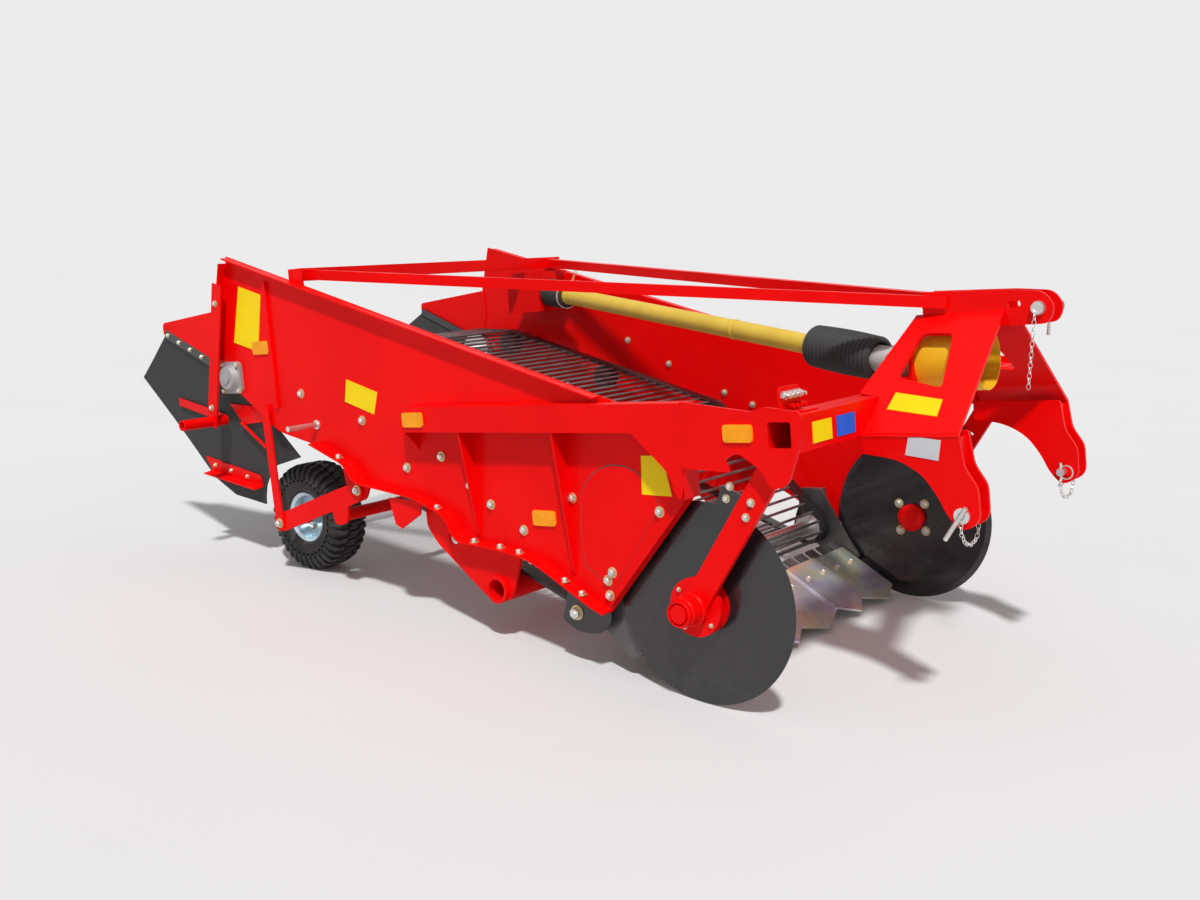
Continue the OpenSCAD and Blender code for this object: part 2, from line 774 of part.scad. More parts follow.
module pto_bellows() {
  color("dimgray") intersection() {
    union() {
      for (i = [0:5]) pto_line(i % 2 == 0 ? 184 : 164, i * 45 - 40, i * 45 + 20);
      pto_line(150, 240, 290);
      for (i = [0:3]) pto_line(i % 2 == 0 ? 116 : 132, pto_len - 170 + i * 45, pto_len - 110 + i * 45);
    }
    translate([pto_rear[0], -500, 500]) cube([pto_front[0] - pto_rear[0], 1500, 1500]);
  }
}

module pto_input_guard() {
  color("gold") translate([carrier_front, 0, pto_z]) rotate([0, 90, 0]) difference() {
    cylinder(d = guard_d, h = guard_l);
    translate([0, 0, -1]) cylinder(d = guard_d - 2 * guard_t, h = guard_l + 2);
  }
}

module pto_input_shaft() {
  color("silver") translate([0, 0, pto_z]) rotate([0, 90, 0]) {
    translate([0, 0, cross_front + 2]) cylinder(r = 25, h = 50);
    translate([0, 0, cross_front + 46]) cylinder(d = 62, h = 12);
    translate([0, 0, cross_front + 50]) cylinder(d = stub_d, h = stub_l);
  }
}

module grease_banks() {
  color("firebrick") both() {
    translate([cross_x - 45, 700, cross_high]) cube([70, 90, 6]);
    translate([cross_x - 45, 700, cross_high]) cube([8, 90, 34]);
    for (i = [0:3]) translate([cross_x - 40, 712 + i * 22, cross_high + 20]) rotate([0, 90, 0]) cylinder(d = 14, h = 32);
  }
}

module reflector(x, z, y0) {
  plate(y0, 8) polygon(soft([for (p = [[-52, -27], [52, -27], [52, 27], [-52, 27]]) [p[0] + x, p[1] + z, 12]]));
}

module reflectors() {
  color("orange") {
    right() reflector(-2118, 1252, wall_out);
    both() {
      reflector(-1171, 956, beam_out);
      reflector(-632, 598, wall_out);
      reflector(248, 911, beam_out + bracket_t);
    }
  }
}

module disc_blade() {
  translate([0, disc_y, disc_r])
    rotate([-90, 0, 0])
      rotate_extrude($fn = 96)
        polygon([[hub_d / 2, -disc_t / 2], [disc_r - 22, -disc_t / 2], [disc_r, disc_t / 2 - 1],
          [disc_r, disc_t / 2], [hub_d / 2, disc_t / 2]]);
}

module disc_hub() {
  difference() {
    union() {
      bar_y([0, disc_r], hub_d, disc_y - 26, hub_face);
      translate([0, disc_y - 42, disc_r]) rotate([-90, 0, 0]) cylinder(d1 = 74, d2 = 104, h = 16);
      bar_y([0, disc_r], 190, disc_y + disc_t / 2, disc_y + disc_t / 2 + 10);
    }
    bar_y([0, disc_r], axle_d + 2 * run_gap, disc_y - 27 + 1, hub_face + 1);
  }
}

module left_disc_blade() {
  color("dimgray") disc_blade();
}

module right_disc_blade() {
  color("dimgray") right() disc_blade();
}

module left_disc_hub() {
  color("firebrick") disc_hub();
}

module right_disc_hub() {
  color("firebrick") right() disc_hub();
}

module rim() {
  translate([wheel_x, wheel_y, wheel_rise])
    rotate([-90, 0, 0]) {
      rotate_extrude($fn = 96)
        polygon([[wheel_axle_d / 2 + run_gap, -46], [38, -46], [38, -12], [84, -8], [88, -62], [rim_d / 2, -70],
          [rim_d / 2, 70], [92, 62], [92, 6], [40, 4], [38, 52], [wheel_axle_d / 2 + run_gap, 52]]);
    }
}

module tyre() {
  body_r = tyre_r - lug_h;
  translate([wheel_x, wheel_y, wheel_rise])
    rotate([-90, 0, 0]) {
      rotate_extrude($fn = 96)
        polygon(soft([[rim_d / 2, -70], [body_r - 60, -tyre_w / 2, 24], [body_r - 22, -tyre_w / 2 + 6, 20],
          [body_r, -tyre_w / 2 + 46, 20], [body_r, tyre_w / 2 - 46, 20], [body_r - 22, tyre_w / 2 - 6, 20],
          [body_r - 60, tyre_w / 2, 24], [rim_d / 2, 70]]));
      for (i = [0:lug_n - 1], s = [-1, 1])
        rotate([0, 0, (i + (s > 0 ? 0.5 : 0)) * 360 / lug_n])
          translate([body_r - 20, 0, s * tyre_w / 4])
            rotate([s * 32, 0, 0])
              translate([0, -13, -tyre_w / 4])
                cube([lug_h + 18, 26, tyre_w / 2 - 6]);
    }
}

module left_rim() {
  color("lightsteelblue") rim();
}

module right_rim() {
  color("lightsteelblue") right() rim();
}

module left_tyre() {
  color("black") tyre();
}

module right_tyre() {
  color("black") right() tyre();
}

stand() side_walls();
stand() outer_beams();
stand() front_cross_beam();
stand() disc_brackets();
stand() disc_arms();
stand() disc_scrapers();
stand() headstock_legs();
stand() top_link_bracket();
stand() hitch_pins();
stand() top_struts();
stand() rear_cross_bar();
stand() share_blades();
stand() share_beam();
stand() web_nose_bend();
stand() web_front_run();
stand() web_top_run();
stand() web_rear_bend();
stand() web_return_run();
stand() web_front_roller();
stand() web_drive_shaft();
stand() web_support_rollers();
stand() drive_bearing();
stand() under_tube();
stand() under_plates();
stand() front_skids();
stand() wheel_arms();
stand() depth_struts();
stand() wheel_arm_tube();
stand() rear_posts();
stand() rear_hoods();
stand() swath_flaps();
stand() flap_strips();
stand() rear_gearbox();
stand() gearbox_bracket();
stand() chain_guard();
stand() pto_carrier();
stand() pto_sleeve();
stand() pto_guard_tube();
stand() pto_bellows();
stand() pto_input_guard();
stand() grease_banks();
stand() reflectors();
stand() right_disc_blade();
stand() left_disc_blade();
stand() right_disc_hub();
stand() left_disc_hub();
stand() right_rim();
stand() left_rim();
stand() right_tyre();
stand() left_tyre();
stand() pto_input_shaft();
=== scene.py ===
import json
import math

import bmesh
import bpy
from bpy.props import FloatProperty, FloatVectorProperty, IntProperty, PointerProperty
from mathutils import Matrix, Vector


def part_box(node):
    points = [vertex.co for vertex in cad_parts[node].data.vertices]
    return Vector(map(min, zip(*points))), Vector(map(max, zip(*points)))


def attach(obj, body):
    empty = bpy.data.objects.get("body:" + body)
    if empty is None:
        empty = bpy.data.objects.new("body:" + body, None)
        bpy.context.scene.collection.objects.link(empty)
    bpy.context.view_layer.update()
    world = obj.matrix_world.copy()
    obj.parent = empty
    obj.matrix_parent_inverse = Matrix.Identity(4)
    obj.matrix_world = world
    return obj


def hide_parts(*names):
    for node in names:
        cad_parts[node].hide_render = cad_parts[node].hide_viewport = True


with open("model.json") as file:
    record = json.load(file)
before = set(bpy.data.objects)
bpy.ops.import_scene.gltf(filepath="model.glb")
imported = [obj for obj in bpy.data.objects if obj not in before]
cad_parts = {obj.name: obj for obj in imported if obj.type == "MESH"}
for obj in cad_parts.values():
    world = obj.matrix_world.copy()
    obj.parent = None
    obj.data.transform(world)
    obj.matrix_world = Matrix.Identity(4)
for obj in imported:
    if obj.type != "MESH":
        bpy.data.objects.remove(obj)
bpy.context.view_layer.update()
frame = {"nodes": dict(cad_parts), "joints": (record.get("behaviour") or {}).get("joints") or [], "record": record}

bl_info = {
    "name": "Potato harvester looks",
    "version": (1, 0, 0),
    "blender": (4, 5, 0),
    "location": "View3D > Sidebar > Harvester",
    "description": "Paint, rubber, fasteners and stage for a parked two-row potato harvester",
    "category": "Object",
}

JOINTS = {j["name"]: j for j in frame["joints"]}
HUB = Vector(JOINTS["left_disc_spin"]["pos_m"])
PTO_AXIS = Vector(JOINTS["pto_input_spin"]["axis"])
PITCH = math.atan2(PTO_AXIS.z, PTO_AXIS.x)
# level frame: X from the disc axle, Z from the disc's lowest point, before the machine is parked
LEVEL = (Matrix.Translation((HUB.x, 0, HUB.z)) @ Matrix.Rotation(-PITCH, 4, "Y")
         @ Matrix.Translation((0, 0, -HUB.z)))

# where the solids' faces and centres lie in the level frame, in metres
WALL_FACE, WALL_INSIDE = 0.805, 0.8
HEM_MIDDLE = 0.832
FLANGE_FACE, ARM_FACE, SCRAPER_FACE, POST_FACE = 0.832, 0.85, 0.83, 0.853
BEARING_FACE, SKID_FACE = 0.819, 0.8
WHEEL_X, WHEEL_Y, WHEEL_Z = -2.105, 0.61, 0.515
LOW_PIN_X, LOW_PIN_Z = 0.765, 0.605
TOP_PIN_X, TOP_PIN_Z = 0.865, 1.203
SHAFT_FRONT, SHAFT_REAR = Vector((0.33, 0, 1.045)), Vector((-1.77, 0.64, 1.39))
TUBE_RADIUS = 0.0378
SHARE_REAR, SHARE_SLOPE = Vector((-0.305, 0, 0.204)), math.radians(33)
BLADES, BLADE_STEP, BLADE_DROP = 6, 0.245, 0.008
BELT_INNER = 0.6745
SHEET = 0.006


class HarvesterColours(bpy.types.PropertyGroup):
    red: FloatVectorProperty(name="Red paint", description="Gloss paint of the frame and walls",
                             subtype="COLOR", default=(0.84, 0.0006, 0.0008))
    black: FloatVectorProperty(name="Black paint", description="Satin paint of the discs and skids",
                               subtype="COLOR", default=(0.007, 0.007, 0.009))
    rubber: FloatVectorProperty(name="Rubber", description="Tyres, belts and flaps",
                                subtype="COLOR", default=(0.018, 0.018, 0.019))
    yellow: FloatVectorProperty(name="Guard yellow", description="Drive line guards",
                                subtype="COLOR", default=(0.92, 0.54, 0.008))
    zinc: FloatVectorProperty(name="Zinc", description="Plated fasteners, pins and rims",
                              subtype="COLOR", default=(0.76, 0.76, 0.74))
    amber: FloatVectorProperty(name="Amber", description="Reflectors",
                               subtype="COLOR", default=(0.95, 0.35, 0.002))


class HarvesterSizes(bpy.types.PropertyGroup):
    bolt: FloatProperty(name="Bolt", description="Across flats of a wall bolt head",
                        default=0.022, min=0.01, max=0.04, unit="LENGTH")
    washer: FloatProperty(name="Washer", description="Outer radius of a wall bolt's washer",
                          default=0.019, min=0.01, max=0.04, unit="LENGTH")
    ribs: IntProperty(name="Bellows ribs", description="Ribs on the front bellows",
                      default=17, min=6, max=24)
    lug: FloatProperty(name="Lug", description="Height of a tyre's tread blocks",
                       default=0.014, min=0.006, max=0.016, unit="LENGTH")
    lugs: IntProperty(name="Lugs", description="Tread blocks round each row of a tyre",
                      default=36, min=16, max=60)
    flap_wave: FloatProperty(name="Flap wave", description="How far a flap bulges out of flat",
                             default=0.006, min=0.0, max=0.03, unit="LENGTH")


# ---- materials -------------------------------------------------------------


def node(tree, kind, **values):
    """A new node with its sockets and settings filled in by name."""
    n = tree.nodes.new(kind)
    for key, value in values.items():
        if key in n.inputs:
            n.inputs[key].default_value = value
        else:
            setattr(n, key, value)
    return n


def surface_group():
    """Shade variation, settled dust and fine grain shared by every finish."""
    old = bpy.data.node_groups.get("harvester_surface")
    if old:
        return old
    g = bpy.data.node_groups.new("harvester_surface", "ShaderNodeTree")
    face = g.interface
    for name, kind, value in (("Colour", "NodeSocketColor", (0.5, 0.5, 0.5, 1)),
                              ("Shade", "NodeSocketColor", (0.3, 0.3, 0.3, 1)),
                              ("Dust colour", "NodeSocketColor", (0.3, 0.24, 0.17, 1)),
                              ("Scale", "NodeSocketFloat", 4.0), ("Dust", "NodeSocketFloat", 0.2),
                              ("Roughness", "NodeSocketFloat", 0.4), ("Grain", "NodeSocketFloat", 300.0)):
        s = face.new_socket(name, in_out="INPUT", socket_type=kind)
        s.default_value = value
    for name, kind in (("Colour", "NodeSocketColor"), ("Roughness", "NodeSocketFloat"),
                       ("Height", "NodeSocketFloat")):
        face.new_socket(name, in_out="OUTPUT", socket_type=kind)
    start, end = node(g, "NodeGroupInput"), node(g, "NodeGroupOutput")
    place = node(g, "ShaderNodeTexCoord")
    cloud = node(g, "ShaderNodeTexNoise", Detail=5.0, Roughness=0.6)
    grain = node(g, "ShaderNodeTexNoise", Detail=2.0)
    speck = node(g, "ShaderNodeTexNoise", Scale=38.0, Detail=6.0, Roughness=0.7)
    geo = node(g, "ShaderNodeNewGeometry")
    split = node(g, "ShaderNodeSeparateXYZ")
    height = node(g, "ShaderNodeSeparateXYZ")
    ramp = node(g, "ShaderNodeMapRange", **{"From Min": 0.35, "From Max": 0.7})
    shade = node(g, "ShaderNodeMix", data_type="RGBA")
    up = node(g, "ShaderNodeMapRange", **{"From Min": 0.2, "From Max": 1.0})
    low = node(g, "ShaderNodeMapRange", **{"From Min": 0.55, "From Max": 0.0})
    both = node(g, "ShaderNodeMath", operation="MAXIMUM")
    flecks = node(g, "ShaderNodeMapRange", **{"From Min": 0.42, "From Max": 0.75})
    mask = node(g, "ShaderNodeMath", operation="MULTIPLY")
    amount = node(g, "ShaderNodeMath", operation="MULTIPLY")
    dusty = node(g, "ShaderNodeMix", data_type="RGBA")
    rough_var = node(g, "ShaderNodeMath", operation="MULTIPLY_ADD")
    rough_var.inputs[1].default_value = 0.22
    rough_dust = node(g, "ShaderNodeMath", operation="MULTIPLY_ADD")
    rough_dust.inputs[1].default_value = 0.35
    link = g.links.new
    for tex in (cloud, grain, speck):
        link(place.outputs["Object"], tex.inputs["Vector"])
    link(start.outputs["Scale"], cloud.inputs["Scale"])
    link(start.outputs["Grain"], grain.inputs["Scale"])
    link(cloud.outputs["Fac"], ramp.inputs["Value"])
    link(ramp.outputs["Result"], shade.inputs["Factor"])
    link(start.outputs["Colour"], shade.inputs["A"])
    link(start.outputs["Shade"], shade.inputs["B"])
    link(geo.outputs["Normal"], split.inputs["Vector"])
    link(split.outputs["Z"], up.inputs["Value"])
    link(place.outputs["Object"], height.inputs["Vector"])
    link(height.outputs["Z"], low.inputs["Value"])
    link(up.outputs["Result"], both.inputs[0])
    link(low.outputs["Result"], both.inputs[1])
    link(speck.outputs["Fac"], flecks.inputs["Value"])
    link(both.outputs[0], mask.inputs[0])
    link(flecks.outputs["Result"], mask.inputs[1])
    link(mask.outputs[0], amount.inputs[0])
    link(start.outputs["Dust"], amount.inputs[1])
    link(amount.outputs[0], dusty.inputs["Factor"])
    link(shade.outputs["Result"], dusty.inputs["A"])
    link(start.outputs["Dust colour"], dusty.inputs["B"])
    link(ramp.outputs["Result"], rough_var.inputs[0])
    link(start.outputs["Roughness"], rough_var.inputs[2])
    link(amount.outputs[0], rough_dust.inputs[0])
    link(rough_var.outputs[0], rough_dust.inputs[2])
    link(dusty.outputs["Result"], end.inputs["Colour"])
    link(rough_dust.outputs[0], end.inputs["Roughness"])
    link(grain.outputs["Fac"], end.inputs["Height"])
    return g


def finish_material(name, colour, shade, rough, metal=0.0, coat=0.0, dust=0.15, scale=4.0,
                    grain=400.0, bump=0.05, dust_colour=(0.32, 0.26, 0.19), shine=0.5):
    """One finish: the shared surface group feeding a Principled shader."""
    old = bpy.data.materials.get(name)
    if old:
        return old
    mat = bpy.data.materials.new(name)
    mat.use_nodes = True
    tree = mat.node_tree
    shader = tree.nodes["Principled BSDF"]
    group = node(tree, "ShaderNodeGroup", node_tree=surface_group())
    group.inputs["Colour"].default_value = (*colour, 1)
    group.inputs["Shade"].default_value = (*shade, 1)
    group.inputs["Dust colour"].default_value = (*dust_colour, 1)
    group.inputs["Scale"].default_value = scale
    group.inputs["Dust"].default_value = dust
    group.inputs["Roughness"].default_value = rough
    group.inputs["Grain"].default_value = grain
    height = node(tree, "ShaderNodeBump", Strength=bump, Distance=0.002)
    tree.links.new(group.outputs["Colour"], shader.inputs["Base Color"])
    tree.links.new(group.outputs["Roughness"], shader.inputs["Roughness"])
    tree.links.new(group.outputs["Height"], height.inputs["Height"])
    tree.links.new(height.outputs["Normal"], shader.inputs["Normal"])
    shader.inputs["Metallic"].default_value = metal
    shader.inputs["Specular IOR Level"].default_value = shine
    shader.inputs["Coat Weight"].default_value = coat
    shader.inputs["Coat Roughness"].default_value = 0.08
    return mat


def times(colour, k):
    """A colour made darker or lighter."""
    return tuple(c * k for c in colour)


def colours():
    """The colours set in the sidebar."""
    return bpy.context.scene.harvester_colours


def red_paint():
    c = tuple(colours().red)
    return finish_material("red_gloss_paint", c, times(c, 0.88), 0.3, coat=0.04, dust=0.02, scale=2.5,
                           grain=160.0, bump=0.03, shine=0.08)


def black_paint():
    c = tuple(colours().black)
    return finish_material("black_satin_paint", c, times(c, 1.8), 0.16, coat=0.5, dust=0.06, scale=5.0,
                           bump=0.02)


def zinc():
    c = tuple(colours().zinc)
    return finish_material("zinc_plate", c, times(c, 0.75), 0.3, metal=0.9, dust=0.1, scale=30.0, bump=0.05)


def yellow_zinc():
    return finish_material("yellow_zinc_washer", (0.66, 0.55, 0.28), (0.6, 0.45, 0.25), 0.35, metal=0.85,
                           dust=0.1, scale=60.0)


def rim_zinc():
    return finish_material("rim_blue_zinc", (0.52, 0.70, 0.80), (0.66, 0.74, 0.78), 0.22, metal=0.8,
                           dust=0.08, scale=9.0)


def yellow_guard():
    c = tuple(colours().yellow)
    return finish_material("yellow_guard_plastic", c, times(c, 0.8), 0.42, dust=0.15, scale=5.0, grain=220.0,
                           bump=0.08)


def olive_tube():
    return finish_material("yellow_tube_plastic", (0.74, 0.52, 0.05), (0.62, 0.43, 0.04), 0.35, dust=0.08,
                           scale=5.0, grain=220.0, bump=0.06)


def black_plastic():
    return finish_material("black_plastic", (0.006, 0.007, 0.011), (0.010, 0.011, 0.016), 0.14, coat=0.1,
                           dust=0.03, scale=8.0, bump=0.02)


def flap_rubber():
    c = tuple(colours().rubber)
    return finish_material("flap_rubber", c, times(c, 1.5), 0.48, dust=0.16, scale=6.0, grain=500.0,
                           bump=0.15)


def tyre_rubber():
    c = tuple(colours().rubber)
    return finish_material("tyre_rubber", times(c, 1.1), times(c, 1.7), 0.62, dust=0.28, scale=14.0,
                           grain=700.0, bump=0.2, dust_colour=(0.16, 0.14, 0.12))


def cast_grey():
    return finish_material("cast_grey", (0.42, 0.43, 0.44), (0.34, 0.35, 0.36), 0.45, metal=0.5, dust=0.1,
                           scale=20.0, grain=260.0, bump=0.25)


def grey_sleeve():
    return finish_material("grey_sleeve_plastic", (0.50, 0.51, 0.49), (0.42, 0.43, 0.42), 0.4, dust=0.06)


def amber_lens():
    c = tuple(colours().amber)
    return finish_material("amber_lens", c, times(c, 0.8), 0.2, coat=0.1, dust=0.03, scale=40.0,
                           grain=900.0, bump=0.3, shine=0.2)


def label_plate(name, colour):
    return finish_material(name, colour, times(colour, 0.92), 0.4, dust=0.02, scale=12.0, shine=0.15)


def worn_steel():
    return finish_material("worn_dark_steel", (0.09, 0.09, 0.095), (0.16, 0.155, 0.15), 0.34, metal=0.6,
                           dust=0.1, scale=9.0)


def share_steel():
    """Passivated steel: bands of straw, green and violet over bright metal."""
    old = bpy.data.materials.get("share_passivated_steel")
    if old:
        return old
    mat = finish_material("share_passivated_steel", (0.7, 0.7, 0.66), (0.6, 0.6, 0.6), 0.2, metal=0.7,
                          dust=0.02, scale=5.0, bump=0.02)
    tree = mat.node_tree
    shader = tree.nodes["Principled BSDF"]
    place = node(tree, "ShaderNodeTexCoord")
    swirl = node(tree, "ShaderNodeTexNoise", Scale=4.0, Detail=2.0, Distortion=0.8)
    ramp = node(tree, "ShaderNodeValToRGB")
    stops = ((0.3, (0.60, 0.56, 0.70)), (0.42, (0.74, 0.76, 0.76)), (0.52, (0.80, 0.76, 0.52)),
             (0.6, (0.62, 0.74, 0.64)), (0.7, (0.74, 0.72, 0.74)))
    ramp.color_ramp.elements[0].position = stops[0][0]
    ramp.color_ramp.elements[0].color = (*stops[0][1], 1)
    ramp.color_ramp.elements[1].position = stops[-1][0]
    ramp.color_ramp.elements[1].color = (*stops[-1][1], 1)
    for at, colour in stops[1:-1]:
        ramp.color_ramp.elements.new(at).color = (*colour, 1)
    tree.links.new(place.outputs["Object"], swirl.inputs["Vector"])
    tree.links.new(swirl.outputs["Fac"], ramp.inputs["Fac"])
    tree.links.new(ramp.outputs["Color"], shader.inputs["Base Color"])
    return mat


def web_steel():
    """Dark rubber belts at the sides of the web, worn steel rods between them."""
    old = bpy.data.materials.get("web_rods_and_belts")
    if old:
        return old
    mat = finish_material("web_rods_and_belts", (0.17, 0.165, 0.17), (0.26, 0.25, 0.255), 0.3, dust=0.08,
                          scale=12.0, bump=0.08)
    tree = mat.node_tree
    shader = tree.nodes["Principled BSDF"]
    place = node(tree, "ShaderNodeTexCoord")
    split = node(tree, "ShaderNodeSeparateXYZ")
    side = node(tree, "ShaderNodeMath", operation="ABSOLUTE")
    rod = node(tree, "ShaderNodeMath", operation="LESS_THAN")
    rod.inputs[1].default_value = BELT_INNER
    metal = node(tree, "ShaderNodeMath", operation="MULTIPLY")
    metal.inputs[1].default_value = 0.75
    tree.links.new(place.outputs["Object"], split.inputs["Vector"])
    tree.links.new(split.outputs["Y"], side.inputs[0])
    tree.links.new(side.outputs[0], rod.inputs[0])
    tree.links.new(rod.outputs[0], metal.inputs[0])
    tree.links.new(metal.outputs[0], shader.inputs["Metallic"])
    worn = shader.inputs["Base Color"].links[0].from_socket
    pick = node(tree, "ShaderNodeMix", data_type="RGBA")
    pick.inputs["A"].default_value = (*colours().rubber, 1)
    tree.links.new(rod.outputs[0], pick.inputs["Factor"])
    tree.links.new(worn, pick.inputs["B"])
    tree.links.new(pick.outputs["Result"], shader.inputs["Base Color"])
    return mat


# ---- making pieces ---------------------------------------------------------


def add_piece(name, bm, material, body, smooth=False):
    """Turns a bmesh into a finished piece that moves with a body."""
    bmesh.ops.remove_doubles(bm, verts=bm.verts, dist=1e-6)
    bmesh.ops.recalc_face_normals(bm, faces=bm.faces)
    mesh = bpy.data.meshes.new(name)
    bm.to_mesh(mesh)
    bm.free()
    mesh.materials.append(material)
    if smooth:
        mesh.shade_smooth()
    piece = bpy.data.objects.new(name, mesh)
    bpy.context.scene.collection.objects.link(piece)
    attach(piece, body)
    return piece


def facing(point, direction, level=True):
    """A frame at a level-frame point whose local Z looks along a level-frame direction."""
    turn = Vector(direction).to_track_quat("Z", "Y").to_matrix().to_4x4()
    local = Matrix.Translation(point) @ turn
    return LEVEL @ local if level else local


def add_cylinder(bm, at, radius, low, high, segments=16, radius_top=None):
    """A closed round or polygon bar along the frame's Z from low to high."""
    bmesh.ops.create_cone(bm, cap_ends=True, cap_tris=False, segments=segments, radius1=radius,
                          radius2=radius if radius_top is None else radius_top, depth=high - low,
                          matrix=at @ Matrix.Translation((0, 0, (low + high) / 2)))


def add_lathe(bm, at, profile, steps=40):
    """Spins an (r, z) profile right round the frame's Z."""
    verts = [bm.verts.new((r, 0, z)) for r, z in profile]
    edges = [bm.edges.new(pair) for pair in zip(verts, verts[1:] + verts[:1])]
    before = set(bm.verts) - set(verts)
    bmesh.ops.spin(bm, geom=verts + edges, cent=(0, 0, 0), axis=(0, 0, 1), angle=2 * math.pi, steps=steps,
                   use_merge=True)
    bmesh.ops.transform(bm, matrix=at, verts=[v for v in bm.verts if v not in before])


def add_ring(bm, at, radius, wire, steps=20):
    """A round wire ring about the frame's Z."""
    add_lathe(bm, at, [(radius + wire * math.cos(a), wire * math.sin(a))
                       for a in (math.radians(60 * k) for k in range(6))], steps)


def thicken(bm, face, move):
    """Turns a face into a closed slab and returns all of its corners."""
    made = bmesh.ops.extrude_face_region(bm, geom=[face], use_keep_orig=True)
    top = [v for v in made["geom"] if isinstance(v, bmesh.types.BMVert)]
    bmesh.ops.translate(bm, vec=move, verts=top)
    return list(face.verts) + top


def add_slab(bm, at, outline, low, high):
    """A flat plate with that outline in the frame's XY, from low to high along its Z."""
    face = bm.faces.new([bm.verts.new((v.x, v.y, low)) for v in outline])
    bmesh.ops.transform(bm, matrix=at, verts=thicken(bm, face, (0, 0, high - low)))


def add_tube(bm, points, radius, segments=10, within=None):
    """A round bar along points in the level frame or a given one, bridged ring by ring."""
    rings, last = [], len(points) - 1
    for k, p in enumerate(points):
        along = (points[min(k + 1, last)] - points[max(k - 1, 0)]).normalized()
        at = facing(p, along) if within is None else within @ facing(p, along, False)
        made = bmesh.ops.create_circle(bm, cap_ends=k in (0, last), segments=segments, radius=radius,
                                       matrix=at)
        rings.append({e for v in made["verts"] for e in v.link_edges})
    for low, high in zip(rings, rings[1:]):
        bmesh.ops.bridge_loops(bm, edges=[e for e in low | high if e.is_valid])


def add_lug(bm, at, path, turn, half, sweep):
    """One tread block that follows (r, z) points across the tyre, swept round as it goes inward."""
    root, top = 0.018, half * 0.85
    section = ((-half, root), (-top, 0), (top, 0), (half, root))
    rows = []
    for k, (r, z) in enumerate(path):
        shift = sweep * k / len(path)
        rows.append([bm.verts.new(at @ Matrix.Rotation(turn + (shift + side) / r, 4, "Z")
                                  @ Vector((r - deep, 0, z))) for side, deep in section])
    for a, b in zip(rows, rows[1:]):
        for k in range(4):
            bm.faces.new((a[k], a[(k + 1) % 4], b[(k + 1) % 4], b[k]))
    bm.faces.new(rows[0])
    bm.faces.new(rows[-1])


def add_chain(bm, points, pitch=0.017, wire=0.0017):
    """A welded chain along level-frame points, each link turned a quarter from the last."""
    spans = [(b - a).length for a, b in zip(points, points[1:])]
    count = round(sum(spans) / pitch)
    for k in range(count):
        left, leg = sum(spans) * (k + 0.5) / count, 0
        while left > spans[leg]:
            left -= spans[leg]
            leg += 1
        along = (points[leg + 1] - points[leg]).normalized()
        at = (facing(points[leg] + along * left, along) @ Matrix.Rotation(math.radians(90 * (k % 2)), 4, "Z")
              @ Matrix.Rotation(math.radians(90), 4, "X") @ Matrix.Diagonal((0.62, 1.0, 1.0, 1.0)))
        add_ring(bm, at, pitch * 0.62, wire, 14)


def add_bolt(heads, washers, at, flats, washer):
    """A washer with a chamfered six-sided head and a stub of thread on it."""
    r, seat = flats / math.sqrt(3), 0.0025
    chamfer, top = seat + flats * 0.45, seat + flats * 0.55
    add_cylinder(washers, at, washer, 0, seat, 18)
    add_cylinder(heads, at, r, seat, chamfer, 6)
    add_cylinder(heads, at, r * 0.97, chamfer, top, 6, r * 0.8)
    add_cylinder(heads, at, flats * 0.26, top, flats * 0.75, 10)


def bolt_set(name, places, body, flats, washer):
    """A group of bolts at (point, direction) places on one body."""
    heads, washers = bmesh.new(), bmesh.new()
    for point, direction in places:
        add_bolt(heads, washers, facing(point, direction), flats, washer)
    add_piece(name + "_heads", heads, zinc(), body)
    add_piece(name + "_washers", washers, yellow_zinc(), body)


def sides(points, y):
    """Places on the outside of both walls or brackets for side-view points in millimetres."""
    return [((x / 1000, s * y, z / 1000), (0, s, 0)) for x, z in points for s in (-1, 1)]


def flat(points):
    """Points in millimetres as an outline in metres."""
    return [Vector((x / 1000, z / 1000, 0)) for x, z in points]


class HARVESTER_OT_finishes(bpy.types.Operator):
    """Gives every solid its procedural finish"""
    bl_idname = "harvester.finishes"
    bl_label = "Finishes"

    def execute(self, context):
        by_slot = {"red_paint": red_paint, "black_paint": black_paint, "zinc_steel": zinc,
                   "share_steel": share_steel, "web_rubber": web_steel, "black_plastic": black_plastic,
                   "cast_grey": cast_grey,
                   "flap_rubber": flap_rubber, "grey_plastic": grey_sleeve, "yellow_plastic": yellow_guard,
                   "amber": amber_lens, "rim_zinc": rim_zinc, "tyre": tyre_rubber}
        own = {"pto_guard_tube": olive_tube, "share_beam": worn_steel, "flap_strips": black_paint}
        for part in frame["record"]["subparts"]:
            solid = frame["nodes"][part["node"]]
            finish = own.get(part["node"], by_slot[part["material_slot"]])
            solid.data.materials.clear()
            solid.data.materials.append(finish())
        return {"FINISHED"}


